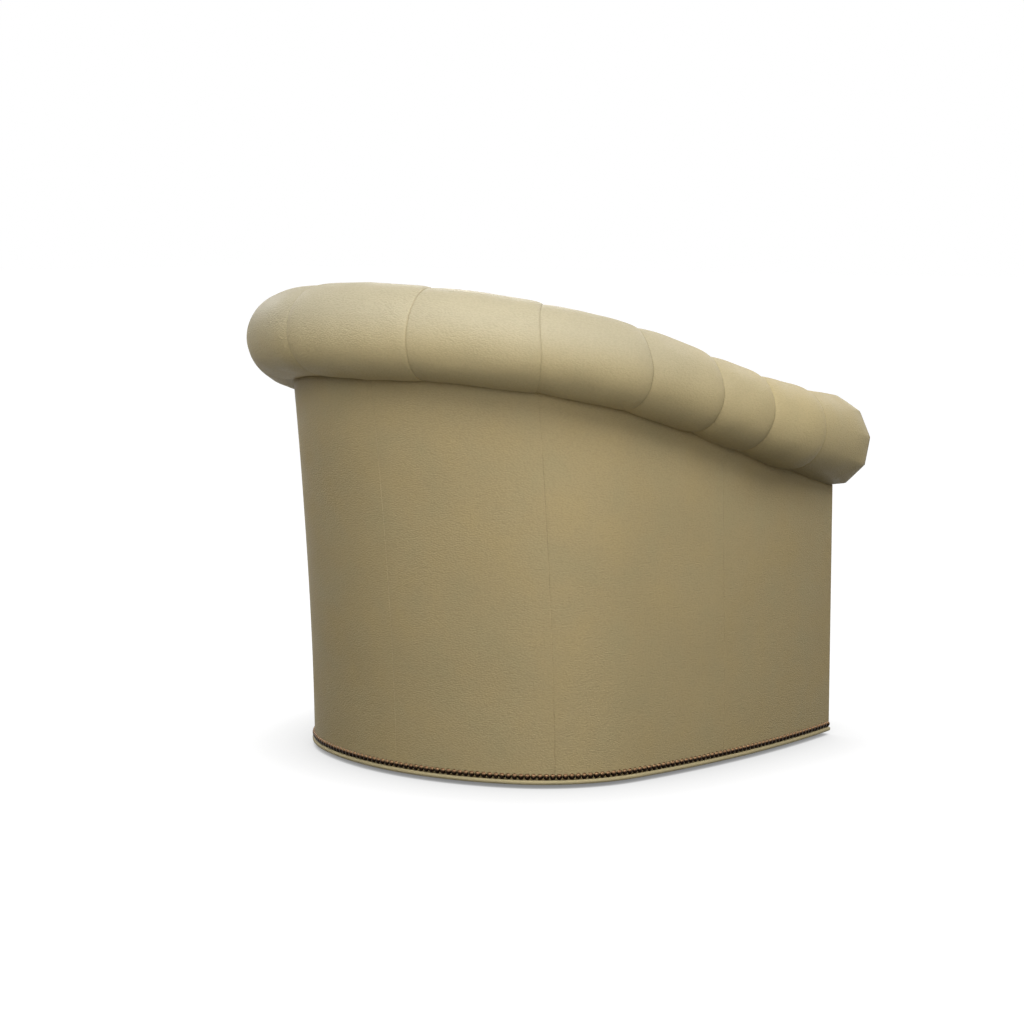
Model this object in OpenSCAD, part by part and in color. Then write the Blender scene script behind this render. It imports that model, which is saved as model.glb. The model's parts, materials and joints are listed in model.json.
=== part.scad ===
// Swivel tub chair: a leather tub with a rolled top edge that falls and sweeps into low arms, nail trim
// round its foot, a loose seat cushion, and a round base disc with a ball bearing.
// The origin is on the swivel axis, on the floor. The front faces -Y, and the sitter's right is -X.
// Most upholstery is set out along s, the length along the tub's outer face from the back centre: it
// grows towards the right arm. "Out" is the distance outside that face, and is negative inside the wall.

/* [Plan of the tub] */
// Radius of the back's outer face
back_r = 432; // [400:1:470]
// Angle that the back turns through on each side of its centre
back_turn = 25.5; // [22:0.5:29]
// Radius of each rear corner's outer face
corner_r = 238; // [220:1:260]
// Angle that each rear corner turns through
corner_turn = 49.5; // [46:0.5:53]
// Radius of each arm's outer face, nearly straight
arm_r = 1550; // [1300:10:2000]
// Length of each arm's outer face along its curve
arm_len = 481; // [450:1:520]
// Distance from the swivel axis back to the tub's outer face at nail height
axis_to_back = 340; // [325:1:355]
// How far the top edge leans out behind the foot at the back centre
back_rake = 54; // [35:1:65]
// How late the lean begins on the way up: 1 is a straight slope
rake_power = 1.6; // [1.2:0.1:2]

/* [Roll along the top edge] */
// Height of the roll's centre at the back
roll_back_z = 681.5; // [656:0.5:716]
// How far the roll's centre falls from the back to the arm fronts, before it meets the scroll
roll_fall = 181.5; // [160:0.5:200]
// How late the fall begins along the arm: 1 is an even wave
fall_power = 1.25; // [1:0.05:1.4]
// Radius of the roll at the back, measured in its seams
roll_back_r = 70; // [62:0.5:73]
// Radius that the roll narrows towards along the arms, before it widens to the scroll
roll_arm_r = 47; // [44:0.5:60]
// How late the roll widens between its fourth seam and the scroll: 1 is an even cone
flare_power = 1.5; // [1:0.1:2]
// How far the roll's centre lies outside the tub's face at the back
roll_back_out = 0; // [-8:0.5:8]
// How far the roll's centre lies outside the tub's face towards the arm fronts
roll_arm_out = 22; // [14:0.5:28]
// How far each segment swells between its seams
roll_puff = 2.5; // [1:0.1:5]
// Distance from the back centre to the first seam of the roll
roll_seam_1 = 102; // [85:1:120]
// Distance from the back centre to the second seam, which the cover's rear side seam meets
roll_seam_2 = 262; // [240:1:280]
// Distance from the back centre to the third seam
roll_seam_3 = 392; // [370:1:410]
// Distance from the back centre to the fourth seam
roll_seam_4 = 518; // [500:1:535]
// Distance from the back centre to the fifth seam
roll_seam_5 = 618; // [600:1:640]
// Distance from the back centre to the last seam, where the front piece begins
roll_seam_6 = 729; // [710:1:745]

/* [Scroll at each arm front] */
// Radius of the scroll over the corners of its pleats
scroll_r = 74.5; // [66:0.5:80]
// Height of the scroll's centre
scroll_z = 487; // [476:1:506]
// How far the scroll's centre lies outside the tub's face
scroll_out = -8.5; // [-14:0.5:0]
// Number of pleats round the scroll
scroll_pleats = 10; // [8:1:12]
// Angle of the first pleat corner above the level
scroll_phase = 7; // [0:1:30]
// How far the pleated face stands out in front of the arm
scroll_dome = 13; // [8:1:20]
// Depth of the pleats in the scroll's face
pleat_depth = 2.5; // [1:0.5:4]
// Radius of the button at the scroll's centre
button_r = 12; // [8:0.5:18]
// Height of the button's dome
button_h = 6; // [4:0.5:9]

/* [Walls and padding] */
// Thickness of the outside cover on its backing
cover_t = 5; // [3:0.5:8]
// Thickness of the whole wall at the arms, at the seams of the inside padding
arm_wall = 98; // [92:1:108]
// Thickness of the whole wall at the back centre, at seat height
back_wall = 128; // [115:1:140]
// How far the inside channels swell between their seams
channel_puff = 10; // [4:0.5:14]
// Distance from the back centre to the seam between two panels on each arm
arm_panel_seam = 584; // [565:1:600]
// Height above the seat at which the inside padding starts to curve up to the roll
knee_h = 150; // [140:1:165]
// Thickness of the padding's edge on top of the roll
pad_edge_t = 5; // [4.5:0.5:7]
// Angle up and inwards round the roll at which the inside padding ends
pad_edge_angle = 110; // [104:1:120]
// How full the inside padding is under the roll, as a share of its overhang
pad_fullness = 0.8; // [0.6:0.05:0.9]

/* [Foot and trim] */
// Height of the nails' centres above the floor
nail_z = 18; // [16:0.5:26]
// Radius of a nail head
nail_r = 4.75; // [3.5:0.05:5]
// Height of a nail head's dome
nail_h = 3.2; // [2:0.1:4]
// Distance between nails, almost head to head
nail_pitch = 9.6; // [9.6:0.1:20]
// Diameter of the piping cord under the nails
welt_d = 7.4; // [5:0.1:8]

/* [Frame] */
// Depth of the posts and rails in the wall
frame_d = 40; // [36:1:42]
// Height of the bottom rails
bottom_rail_h = 44; // [36:1:60]
// Height of the top rails
top_rail_h = 24; // [18:1:30]
// Width of the back and side posts along the wall
post_w = 60; // [45:1:70]
// Height of the seat rails
seat_rail_h = 60; // [45:1:80]
// Thickness of the seat rails
seat_rail_t = 24; // [20:1:28]
// Length of the corner blocks' short sides
block_w = 60; // [40:1:80]
// Thickness of the bottom board
board_t = 18; // [15:1:24]
// Thickness of the webbing and of the deck's border
webbing_t = 1.8; // [1.2:0.1:2]
// Width of a webbing strap
webbing_w = 48; // [38:1:56]

/* [Seat] */
// Height of the seat deck's top above the floor
seat_z = 276; // [261:1:291]
// Thickness of the seat deck
deck_t = 15; // [10:1:20]
// Thickness of the cushion at its edge
cushion_t = 138; // [120:1:145]
// How far the cushion's top and bottom seams stand proud of its drawn-in side
cushion_tuck = 5; // [2:0.5:8]
// Height of the cushion's crown above its edge
cushion_crown = 24; // [12:1:30]
// How far the cushion's nose stands in front of the front panel
cushion_nose = 8; // [0:1:15]
// Space between the cushion and the padding round it
cushion_gap = 1.5; // [1:0.5:5]
// How much each side of the cushion bows out along its front
cushion_bow = 12; // [0:1:20]
// Number of springs
spring_count = 5; // [3:2:5]
// Distance between springs
spring_pitch = 70; // [60:1:72]
// Width of a spring over its bends
spring_w = 50; // [46:1:54]
// Diameter of the spring wire
spring_wire_d = 3.8; // [3:0.1:4.5]
// Number of crossbars in one spring
spring_bars = 21; // [21:2:25]

/* [Swivel base] */
// Radius of the base disc
base_r = 235; // [205:1:245]
// Thickness of the base disc
base_t = 18; // [15:1:20]
// Height of a glide
glide_h = 4; // [3:0.5:6]
// Radius of a glide
glide_r = 18; // [10:0.5:22]
// Distance from a glide to the base disc's edge
glide_edge = 6; // [2:1:15]
// Number of glides
glide_count = 6; // [4:1:8]
// Radius of the circle that the balls run on
ball_circle_r = 85; // [75:1:90]
// Diameter of a ball
ball_d = 8; // [6:0.5:8]
// Number of balls
ball_count = 20; // [12:1:24]
// Thickness of the lower race
race_t = 4; // [3:0.5:5]
// Width of the square swivel plate
plate_w = 240; // [230:1:250]
// Thickness of the swivel plate
plate_t = 4; // [3:0.5:5]
// Radius of the pivot bolt's shank
pivot_r = 6; // [5:0.5:8]
// Radial running clearance of the pivot bolt in the swivel plate
pivot_clearance = 0.08; // [0.05:0.01:0.1]
// Radius of a screw's shank
screw_r = 3; // [2:0.5:3.5]

/* [Hidden] */
$fn = 48;

leather = "#a3946a";
nail_metal = "#4a3526";
timber = "burlywood";
steel = "silver";
dark_cloth = "#2b2a28";

// Clearances: between curved faces, and between flat faces of loose pieces
gap = 0.3;
fine_gap = 0.1;
// Room between the roll and what stands under it where the roll turns upright at the scroll
rail_room = 1.5;
// Room round the bolt's head, and length of bolt past the nut
bolt_room = 2;
bolt_tail = 3;

// Length along the tub at the ends of the back, the corner and the arm
s_back = back_r * back_turn * PI / 180;
s_corner = s_back + corner_r * corner_turn * PI / 180;
s_arm = s_corner + arm_len;
last_seam = roll_seam_6;

// Places of the frame's faces, measured out from the tub's face
frame_out = -(cover_t + gap);
frame_in = frame_out - frame_d;
pad_back = frame_in - webbing_t - 2 * gap;
seat_rail_in = frame_in - seat_rail_t;

// Heights
bearing_z = glide_h + base_t;
race_top_z = bearing_z + race_t;
ball_sink = ball_d / 4;
ball_play = 0.05;
ball_z = race_top_z + ball_d / 2 - ball_sink + ball_play;
plate_z = ball_z + ball_d / 2 - ball_sink + ball_play;
board_z = plate_z + plate_t;
cover_z = nail_z - nail_r;
wrap_t = 1.3;
rail_z = cover_z - welt_d + wrap_t;
post_z = rail_z + bottom_rail_h;
rail_top_z = seat_z - deck_t;
seat_rail_z = rail_top_z - seat_rail_h;
knee_z = seat_z + knee_h;

// Longest step between two points of a curved wall, and rows of points in the padding's curved part
wall_step = 18;
pad_rows = 7;
// Room behind the padding where it leans and turns to follow the roll, and between it and the roll
pad_room = 2.5;
roll_room = 2;

// Plan of the tub's outer face at length s
function heading(a) = a < s_back ? a / back_r * 180 / PI
    : a < s_corner ? back_turn + (a - s_back) / corner_r * 180 / PI
    : back_turn + corner_turn + (a - s_corner) / arm_r * 180 / PI;
function facing(angle) = [-sin(angle), cos(angle)];
back_c = [0, axis_to_back - back_r];
corner_c = back_c + (back_r - corner_r) * facing(back_turn);
arm_c = corner_c + (corner_r - arm_r) * facing(back_turn + corner_turn);
function arc_c(a) = a < s_back ? back_c : a < s_corner ? corner_c : arm_c;
function arc_r(a) = a < s_back ? back_r : a < s_corner ? corner_r : arm_r;
function side(s) = s < 0 ? -1 : 1;
function outward(s) = let (n = facing(heading(abs(s)))) [side(s) * n.x, n.y];
function plan(s, out) = let (a = abs(s), p = arc_c(a) + (arc_r(a) + out) * facing(heading(a)))
    [side(s) * p.x, p.y];

// Share of the way from the back to the arm front, and along the front piece
function share(s) = min(1, abs(s) / s_arm);
function front_share(s) = max(0, (abs(s) - last_seam) / (s_arm - last_seam));
function mix(a, b, t) = a + (b - a) * t;

// The roll: its centre, and its radius in the seams and over the swelling between them
function fall(s) = roll_fall * (1 - cos(180 * pow(min(abs(s), last_seam) / s_arm, fall_power))) / 2;
function roll_z(s) = mix(roll_back_z - fall(s), scroll_z, front_share(s));
function arm_share(s) = min(abs(s), last_seam) / s_arm;
function roll_out(s) = mix(mix(roll_back_out, roll_arm_out, arm_share(s)), scroll_out, front_share(s));
function flare(s) = pow(max(0, (abs(s) - roll_seam_4) / (s_arm - roll_seam_4)), flare_power);
function roll_r(s) = mix(mix(roll_back_r, roll_arm_r, arm_share(s)), scroll_r, flare(s));
function rake(s) = back_rake * (1 + cos(180 * share(s))) / 2;
function swell(u) = 1 - pow(abs(2 * u - 1), 2.5);

// Lean of the wall: 0 at the nails, 1 where the wall meets the roll
function lean(s, z) = let (top = roll_z(s) - 0.9 * roll_r(s))
    pow(max(0, min(1, (z - nail_z) / (top - nail_z))), rake_power);
function wall(s, out, z) = let (p = plan(s, out)) [p.x, p.y + rake(s) * lean(s, z), z];

// A cross-section of the roll stands square to its path, and turns upright at the scroll
function path(s) = let (p = plan(s, roll_out(s))) [p.x, p.y + rake(s), roll_z(s)];
function along(s) = let (d = path(s + 1) - path(s - 1), v = [d.x, d.y, d.z * (1 - front_share(s))])
    v / norm(v);
function level_out(s) = let (n = outward(s)) [n.x, n.y, 0];
function upward(s) = let (up = cross(level_out(s), along(s))) up / norm(up);
function roll_point(s, angle, r) = path(s) + r * (cos(angle) * level_out(s) + sin(angle) * upward(s));

// Lowest height of the roll over a strip of the wall between two faces
function roll_under(s, out) = let (r = roll_r(s) + roll_puff, d = out - roll_out(s), t = along(s))
    roll_z(s) - sqrt(r * r - d * d) / sqrt(1 - t.z * t.z);
function roll_over_strip(s, low, high) = roll_under(s, max(low, min(high, roll_out(s))));
function cover_top(s) = roll_over_strip(s, -cover_t, 0) - mix(gap, rail_room, arm_share(s));
function rail_top(s) = roll_over_strip(s, frame_in, frame_out) - rail_room;
function rail_under(s) = rail_top(s) - top_rail_h;

// Thickness of the wall at seat height
function wall_t(s) = mix(back_wall, arm_wall, (1 - cos(180 * min(1, abs(s) / s_corner))) / 2);

// Evenly spaced values from a to b
function steps(a, b, n) = [for (i = [0:n]) a + (b - a) * i / n];
function wall_steps(a, b) = steps(a, b, ceil(abs(b - a) / wall_step));

// Closed solid between two grids of points that match one to one, the outer one seen from outside with
// its rows running to the right
module slab(outer, inner) {
    ni = len(outer);
    nj = len(outer[0]);
    back = ni * nj;
    end = ni - 1;
    top = nj - 1;
    function at(i, j) = i * nj + j;
    function in(i, j) = at(i, j) + back;
    polyhedron(points = [for (row = outer) each row, for (row = inner) each row], faces = [
        for (i = [0:end - 1], j = [0:top - 1]) each [
            [at(i, j), at(i, j + 1), at(i + 1, j)],
            [at(i + 1, j), at(i, j + 1), at(i + 1, j + 1)],
            [in(i + 1, j), in(i, j + 1), in(i, j)],
            [in(i + 1, j + 1), in(i, j + 1), in(i + 1, j)]],
        for (j = [0:top - 1]) each [
            [at(0, j + 1), at(0, j), in(0, j)],
            [at(0, j + 1), in(0, j), in(0, j + 1)],
            [at(end, j), at(end, j + 1), in(end, j)],
            [in(end, j), at(end, j + 1), in(end, j + 1)]],
        for (i = [0:end - 1]) each [
            [at(i, 0), at(i + 1, 0), in(i, 0)],
            [in(i, 0), at(i + 1, 0), in(i + 1, 0)],
            [at(i + 1, top), at(i, top), in(i, top)],
            [at(i + 1, top), in(i, top), in(i + 1, top)]]]);
}

// Closed solid through a row of rings with as many points each, with flat ends or closed on itself
module skin(rings, closed = false) {
    n = len(rings[0]);
    count = len(rings);
    end = count - 1;
    centre = function(ring) [for (p = ring) 1] * ring / n;
    function at(i, k) = (i % count) * n + k % n;
    polyhedron(points = [for (ring = rings) each ring, centre(rings[0]), centre(rings[end])], faces = [
        for (i = [0:closed ? end : end - 1], k = [0:n - 1]) each [
            [at(i, k), at(i, k + 1), at(i + 1, k)],
            [at(i + 1, k), at(i, k + 1), at(i + 1, k + 1)]],
        if (!closed) for (k = [0:n - 1]) each [
            [count * n, at(0, k + 1), at(0, k)],
            [count * n + 1, at(end, k), at(end, k + 1)]]]);
}

// Block of the wall from s0 to s1 between two faces, with its height given by functions of s
module wall_block(s0, s1, face_in, face_out, low, high, rows = 1) {
    stations = wall_steps(s0, s1);
    function grid(out) = [for (s = stations) [for (t = steps(0, 1, rows))
        wall(s, out, mix(low(s), high(s), t))]];
    slab(grid(face_out), grid(face_in));
}

// Height functions
function level(z) = function(s) z;
post_high = function(s) rail_under(s) - gap;
rail_low = function(s) rail_under(s);
rail_high = function(s) rail_top(s);
cover_high = function(s) cover_top(s);

module mirrored() {
    mirror([1, 0, 0]) children();
}

module both_sides() {
    children();
    mirrored() children();
}

// Swivel base

module floor_glides() {
    inset = glide_r + glide_edge;
    color("dimgray")
    for (i = [0:glide_count - 1])
        rotate(i * 360 / glide_count)
        translate([base_r - inset, 0, 0])
        cylinder(r = glide_r, h = glide_h);
}

// Screws sit on a circle inside the balls in the lower race, and near the corners of the swivel plate
race_screw_r = ball_circle_r - ball_d - 4 * screw_r;
plate_screw_at = plate_w / 2 - 4 * screw_r;
race_r = ball_circle_r + 2 * ball_d;
bolt_head_r = 1.7 * pivot_r;
bolt_head_h = 1.2 * pivot_r;
bolt_recess_h = bolt_head_h + bolt_room;
race_screw_l = base_t * 0.6;
plate_screw_l = board_t * 0.8;

module base_disc() {
    color(timber)
    difference() {
        translate([0, 0, glide_h]) cylinder(r = base_r, h = base_t, $fn = 2 * $fn);
        translate([0, 0, glide_h - 1]) cylinder(r = pivot_r + fine_gap, h = base_t + 2);
        translate([0, 0, glide_h - 1]) cylinder(r = bolt_head_r + bolt_room, h = bolt_recess_h + 1);
        for (i = [0:3])
            rotate(45 + 90 * i) translate([race_screw_r, 0, bearing_z - race_screw_l])
            cylinder(r = screw_r + fine_gap, h = race_screw_l + 1);
    }
}

module ball_groove() {
    rotate_extrude() translate([ball_circle_r, ball_z]) circle(r = ball_d / 2 + ball_play);
}

// Hole and seat for a countersunk screw, up from a plate's underside
module screw_hole(t) {
    translate([0, 0, -1]) cylinder(r = screw_r + fine_gap, h = t + 2);
    translate([0, 0, t - screw_r]) cylinder(r1 = screw_r, r2 = 2 * screw_r + 1, h = screw_r + 1);
}

// Countersunk screw down from its seat's top
module screw(length) {
    translate([0, 0, -length]) cylinder(r = screw_r, h = length);
    translate([0, 0, -screw_r])
        cylinder(r1 = screw_r - fine_gap, r2 = 2 * screw_r - fine_gap, h = screw_r - fine_gap);
}

module lower_race() {
    color(steel)
    difference() {
        translate([0, 0, bearing_z]) cylinder(r = race_r, h = race_t, $fn = 2 * $fn);
        translate([0, 0, bearing_z - 1]) cylinder(r = pivot_r + fine_gap, h = race_t + 2);
        ball_groove();
        for (i = [0:3])
            rotate(45 + 90 * i) translate([race_screw_r, 0, bearing_z]) screw_hole(race_t);
    }
}

module race_screws() {
    color("gray")
    for (i = [0:3])
        rotate(45 + 90 * i) translate([race_screw_r, 0, race_top_z])
        screw(race_screw_l + race_t - fine_gap);
}

module ball_cage() {
    cage_t = ball_d / 4;
    color("darkgoldenrod")
    translate([0, 0, ball_z - cage_t / 2])
    difference() {
        cylinder(r = ball_circle_r + ball_d, h = cage_t, $fn = 2 * $fn);
        translate([0, 0, -1]) cylinder(r = ball_circle_r - ball_d, h = cage_t + 2, $fn = 2 * $fn);
        for (i = [0:ball_count - 1])
            rotate(i * 360 / ball_count) translate([ball_circle_r, 0, -1])
            cylinder(r = ball_d / 2 + gap, h = cage_t + 2);
    }
}

module bearing_balls() {
    color(steel)
    for (i = [0:ball_count - 1])
        rotate(i * 360 / ball_count) translate([ball_circle_r, 0, ball_z])
        sphere(d = ball_d);
}

washer_t = 2.5;
washer_z = board_z + gap;
nut_h = 1.7 * pivot_r;
nut_r = 1.75 * pivot_r;
washer_r = 2.5 * pivot_r;
board_hole_r = 4 * pivot_r;

module pivot_bolt() {
    bolt_end = washer_z + washer_t + nut_h + bolt_tail;
    color("gray") {
        translate([0, 0, glide_h + bolt_recess_h - bolt_head_h])
            cylinder(r = bolt_head_r, h = bolt_head_h, $fn = 6);
        translate([0, 0, glide_h + bolt_recess_h - 1])
            cylinder(r = pivot_r, h = bolt_end - glide_h - bolt_recess_h + 1);
    }
}

module pivot_washer() {
    color(steel)
    translate([0, 0, washer_z])
    difference() {
        cylinder(r = washer_r, h = washer_t);
        translate([0, 0, -1]) cylinder(r = pivot_r + fine_gap, h = washer_t + 2);
    }
}

module pivot_nut() {
    color("gray")
    translate([0, 0, washer_z + washer_t])
    difference() {
        cylinder(r = nut_r, h = nut_h, $fn = 6);
        translate([0, 0, -1]) cylinder(r = pivot_r + fine_gap / 2, h = nut_h + 2);
    }
}

module swivel_plate() {
    color(steel)
    difference() {
        translate([-plate_w / 2, -plate_w / 2, plate_z]) cube([plate_w, plate_w, plate_t]);
        translate([0, 0, plate_z - 1]) cylinder(r = pivot_r + pivot_clearance, h = plate_t + 2);
        ball_groove();
        for (x = [-1, 1], y = [-1, 1])
            translate([x * plate_screw_at, y * plate_screw_at, plate_z + plate_t])
            mirror([0, 0, 1]) screw_hole(plate_t);
    }
}

module plate_screws() {
    color("gray")
    for (x = [-1, 1], y = [-1, 1])
        translate([x * plate_screw_at, y * plate_screw_at, plate_z])
        mirror([0, 0, 1])
        screw(plate_screw_l + plate_t - fine_gap);
}

// Frame of the tub

// Face of the front panel, and of the rails behind it
panel_t = 23;
front_y = plan(s_arm, pad_back).y;
rail_front_y = front_y + panel_t + gap;
rail_back_y = rail_front_y + seat_rail_t;
front_half = -plan(s_arm, frame_in).x - 2 * gap;
// Where the side rails end, behind the front rail
s_rail_end = s_arm - (rail_back_y + gap - plan(s_arm, frame_in).y) - 2;
s_facing = s_arm - cover_t;

// Outline on plan at a distance inside the tub's face, closed by a straight front
function outline(out, z, y_front) = [
    for (s = wall_steps(-s_arm, s_arm)) let (p = wall(s, out, z)) if (p.y > y_front) [p.x, p.y],
    [-front_x(out, y_front), y_front],
    [front_x(out, y_front), y_front]];
// Half width of the inside of the wall where it meets a line across the front
function front_x(out, y) = let (c = arm_c, r = arm_r + out) -(c.x - sqrt(r * r - pow(y - c.y, 2)));

module bottom_board() {
    color(timber)
    difference() {
        translate([0, 0, board_z]) linear_extrude(board_t)
            polygon(outline(frame_in - gap, board_z, rail_back_y + gap));
        translate([0, 0, board_z - 1]) cylinder(r = board_hole_r, h = board_t + 2);
        for (x = [-1, 1], y = [-1, 1])
            translate([x * plate_screw_at, y * plate_screw_at, board_z - 1])
            cylinder(r = screw_r + fine_gap, h = plate_screw_l + 1.5);
    }
}

// Straight-sided curved rail
module rail(s0, s1, face_in, face_out, z, h) {
    stations = wall_steps(s0, s1);
    function edge(out, list) = [for (s = list) let (p = wall(s, out, z)) [p.x, p.y]];
    color(timber)
    translate([0, 0, z]) linear_extrude(h)
    polygon([each edge(face_out, stations),
        each edge(face_in, [for (i = [len(stations) - 1:-1:0]) stations[i]])]);
}

module bottom_rail() {
    rail(-s_facing + gap, s_facing - gap, frame_in, frame_out, rail_z, bottom_rail_h);
}

module front_rail() {
    color(timber)
    translate([-front_half, rail_front_y, rail_z])
    cube([2 * front_half, seat_rail_t, bottom_rail_h]);
}

module post(s, w = post_w) {
    color(timber)
    wall_block(s - w / 2, s + w / 2, frame_in, frame_out - gap, level(post_z), post_high, rows = 8);
}

// Posts stand behind the cover's seams, and halfway across the back
module back_posts() {
    post(0);
    both_sides() post(roll_seam_2 / 2);
}

module side_posts() {
    both_sides() {
        post(roll_seam_2);
        post(roll_seam_3 + post_w / 4);
        post(arm_panel_seam);
    }
}

module front_posts() {
    both_sides() post(s_facing - gap - post_w / 2);
}

module top_rail() {
    color(timber)
    wall_block(-roll_seam_2, roll_seam_2, frame_in, frame_out, rail_low, rail_high);
}

module arm_rail_right() {
    color(timber)
    wall_block(roll_seam_2, s_facing - gap, frame_in, frame_out, rail_low, rail_high);
}

module arm_rail_left() {
    mirrored() arm_rail_right();
}

module seat_rail(s0, s1) {
    rail(s0, s1, seat_rail_in, frame_in, seat_rail_z, seat_rail_h);
}

module seat_rail_back() {
    seat_rail(-roll_seam_3, roll_seam_3);
}

module seat_rail_right() {
    seat_rail(roll_seam_3, s_rail_end);
}

module seat_rail_left() {
    mirrored() seat_rail_right();
}

module seat_rail_front() {
    color(timber)
    translate([-front_half, rail_front_y, seat_rail_z])
    cube([2 * front_half, seat_rail_t, seat_rail_h]);
}

module corner_blocks() {
    y0 = rail_back_y;
    x0 = -min(front_x(seat_rail_in, y0), front_x(seat_rail_in, y0 + block_w)) + gap;
    color(timber)
    both_sides()
    translate([x0, y0, seat_rail_z])
    linear_extrude(seat_rail_h - deck_t)
    polygon([[0, 0], [block_w, 0], [0, block_w]]);
}

// Seat

clip_hole = spring_wire_d + 2 * fine_gap;
clip_wall = 2.5;
clip = [clip_hole + 4 * clip_wall, 4 * clip_wall, clip_hole + 2 * clip_wall];
spring_z = rail_top_z - clip.z / 2 - 1;
// Inner face of the back seat rail at a distance from the centre line
function seat_rail_y(x) = let (r = back_r + seat_rail_in, s = asin(x / r) * PI / 180 * back_r)
    back_c.y + sqrt(r * r - x * x) + rake(s) * lean(s, seat_rail_z);

function arc_points(c, r, from, to, n) = [for (a = steps(from, to, n)) c + r * [cos(a), sin(a)]];

// Centre line of one spring: a tail out of each clip, and crossbars joined by bends
function spring_line(y0, y1) = let (
    tail_r = 1.5 * spring_wire_d,
    lead = 2.5 * tail_r,
    pitch = (y1 - y0 - 2 * lead) / (spring_bars - 1),
    bend_x = (spring_w - spring_wire_d - pitch) / 2,
    tail_l = clip.y * 0.8)
    [[0, y0 - tail_l],
        each arc_points([-tail_r, y0 + lead - tail_r], tail_r, 0, 90, 3),
        for (i = [0:spring_bars - 2]) let (way = i % 2 == 0 ? -1 : 1, y = y0 + lead + (i + 0.5) * pitch)
            each arc_points([way * bend_x, y], pitch / 2, -90, way < 0 ? -270 : 90, 8),
        each arc_points([tail_r, y1 - lead + tail_r], tail_r, -90, -180, 3),
        [0, y1 + tail_l]];

// Outline of a strip of the wire's width along a line
function strip(line, w) = let (
    last = len(line) - 1,
    side = [for (i = [0:last]) let (d = line[min(last, i + 1)] - line[max(0, i - 1)])
        [d.y, -d.x] / norm(d) * w / 2])
    [for (i = [0:last]) line[i] + side[i], for (i = [last:-1:0]) line[i] - side[i]];

// Places of the springs, and the near face of the clip at the back end of each
spring_xs = [for (i = [0:spring_count - 1]) (i - (spring_count - 1) / 2) * spring_pitch];
function back_clip_y(x) = seat_rail_y(abs(x) + clip.x / 2) - gap - clip.y;

module seat_springs() {
    color(steel)
    for (x = spring_xs)
        translate([x, 0, spring_z - spring_wire_d / 2])
        linear_extrude(spring_wire_d)
        polygon(strip(spring_line(rail_back_y + clip.y, back_clip_y(x)), spring_wire_d));
}

module spring_clips() {
    color("gray")
    for (x = spring_xs) {
        for (y = [rail_back_y, back_clip_y(x)])
            difference() {
                translate([x - clip.x / 2, y, spring_z - clip.z / 2]) cube(clip);
                translate([x - clip_hole / 2, y - 1, spring_z - clip_hole / 2])
                    cube([clip_hole, clip.y + 2, clip_hole]);
            }
    }
}

module seat_deck() {
    color(dark_cloth)
    translate([0, 0, rail_top_z]) linear_extrude(deck_t)
        polygon(outline(frame_in - gap, rail_top_z, rail_front_y));
}

// Webbing straps stand between the posts, behind the padding
module wall_webbing() {
    places = [roll_seam_2 / 4, roll_seam_2 * 3 / 4, (roll_seam_2 + roll_seam_3) / 2,
        (roll_seam_3 + arm_panel_seam) / 2, (arm_panel_seam + s_arm) / 2];
    strap_top = function(s) rail_top(s) - top_rail_h / 4;
    color("tan")
    both_sides()
    for (s = places)
        wall_block(s - webbing_w / 2, s + webbing_w / 2, frame_in - gap - webbing_t, frame_in - gap,
            level(seat_z + gap), strap_top, rows = 4);
}

// The cushion's outline follows the padding, and bows at the front
cushion_in = channel_puff + cushion_gap;
cushion_side = 30;
cushion_cross = 10;
cushion_ring = let (
    y_front = front_y - cushion_nose,
    sides = [for (s = steps(-s_arm, s_arm, cushion_side)) wall(s, -wall_t(s) - cushion_in, seat_z)],
    half = -plan(s_arm, -wall_t(s_arm) - cushion_in).x)
    [each [for (p = sides) [p.x, max(p.y, y_front)]],
        for (t = steps(-1, 1, cushion_cross + 1)) if (abs(t) < 1)
            [half * t, y_front - cushion_bow * cos(90 * t)]];

cushion_c = [0, (max([for (p = cushion_ring) p.y]) + min([for (p = cushion_ring) p.y])) / 2];
function ring_at(inset, z) = [for (p = cushion_ring) let (d = p - cushion_c, q = p - d * inset / norm(d))
    [q.x, q.y, z]];
function ring_share(f, z) = [for (p = cushion_ring) let (q = mix(cushion_c, p, f)) [q.x, q.y, z]];

module seat_cushion() {
    z0 = seat_z + gap;
    z1 = z0 + cushion_t;
    edge = 4;
    border = 4 * edge;
    crown = [for (f = [0.92, 0.78, 0.6, 0.4, 0.2]) ring_share(f, z1 + cushion_crown * (1 - pow(f, 2.5)))];
    rings = [ring_share(0.9, z0), ring_at(edge, z0), ring_at(0, z0 + edge),
        ring_at(cushion_tuck, z0 + border), ring_at(cushion_tuck, z1 - border),
        ring_at(0, z1 - edge), ring_at(edge, z1), each crown];
    color(leather)
    skin([for (ring = rings) [for (i = [len(ring) - 1:-1:0]) ring[i]]]);
}

// Inside padding in sewn channels, from the deck up to the roll

// Point at a height over the roll's centre, in the wall's upright cross-section or turned to the roll's
function pad_point(s, out, h, turn) = let (up = upward(s), rise = h / up.z)
    wall(s, out, roll_z(s) + rise) + turn * (h * up - [0, 0, rise]);

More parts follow.
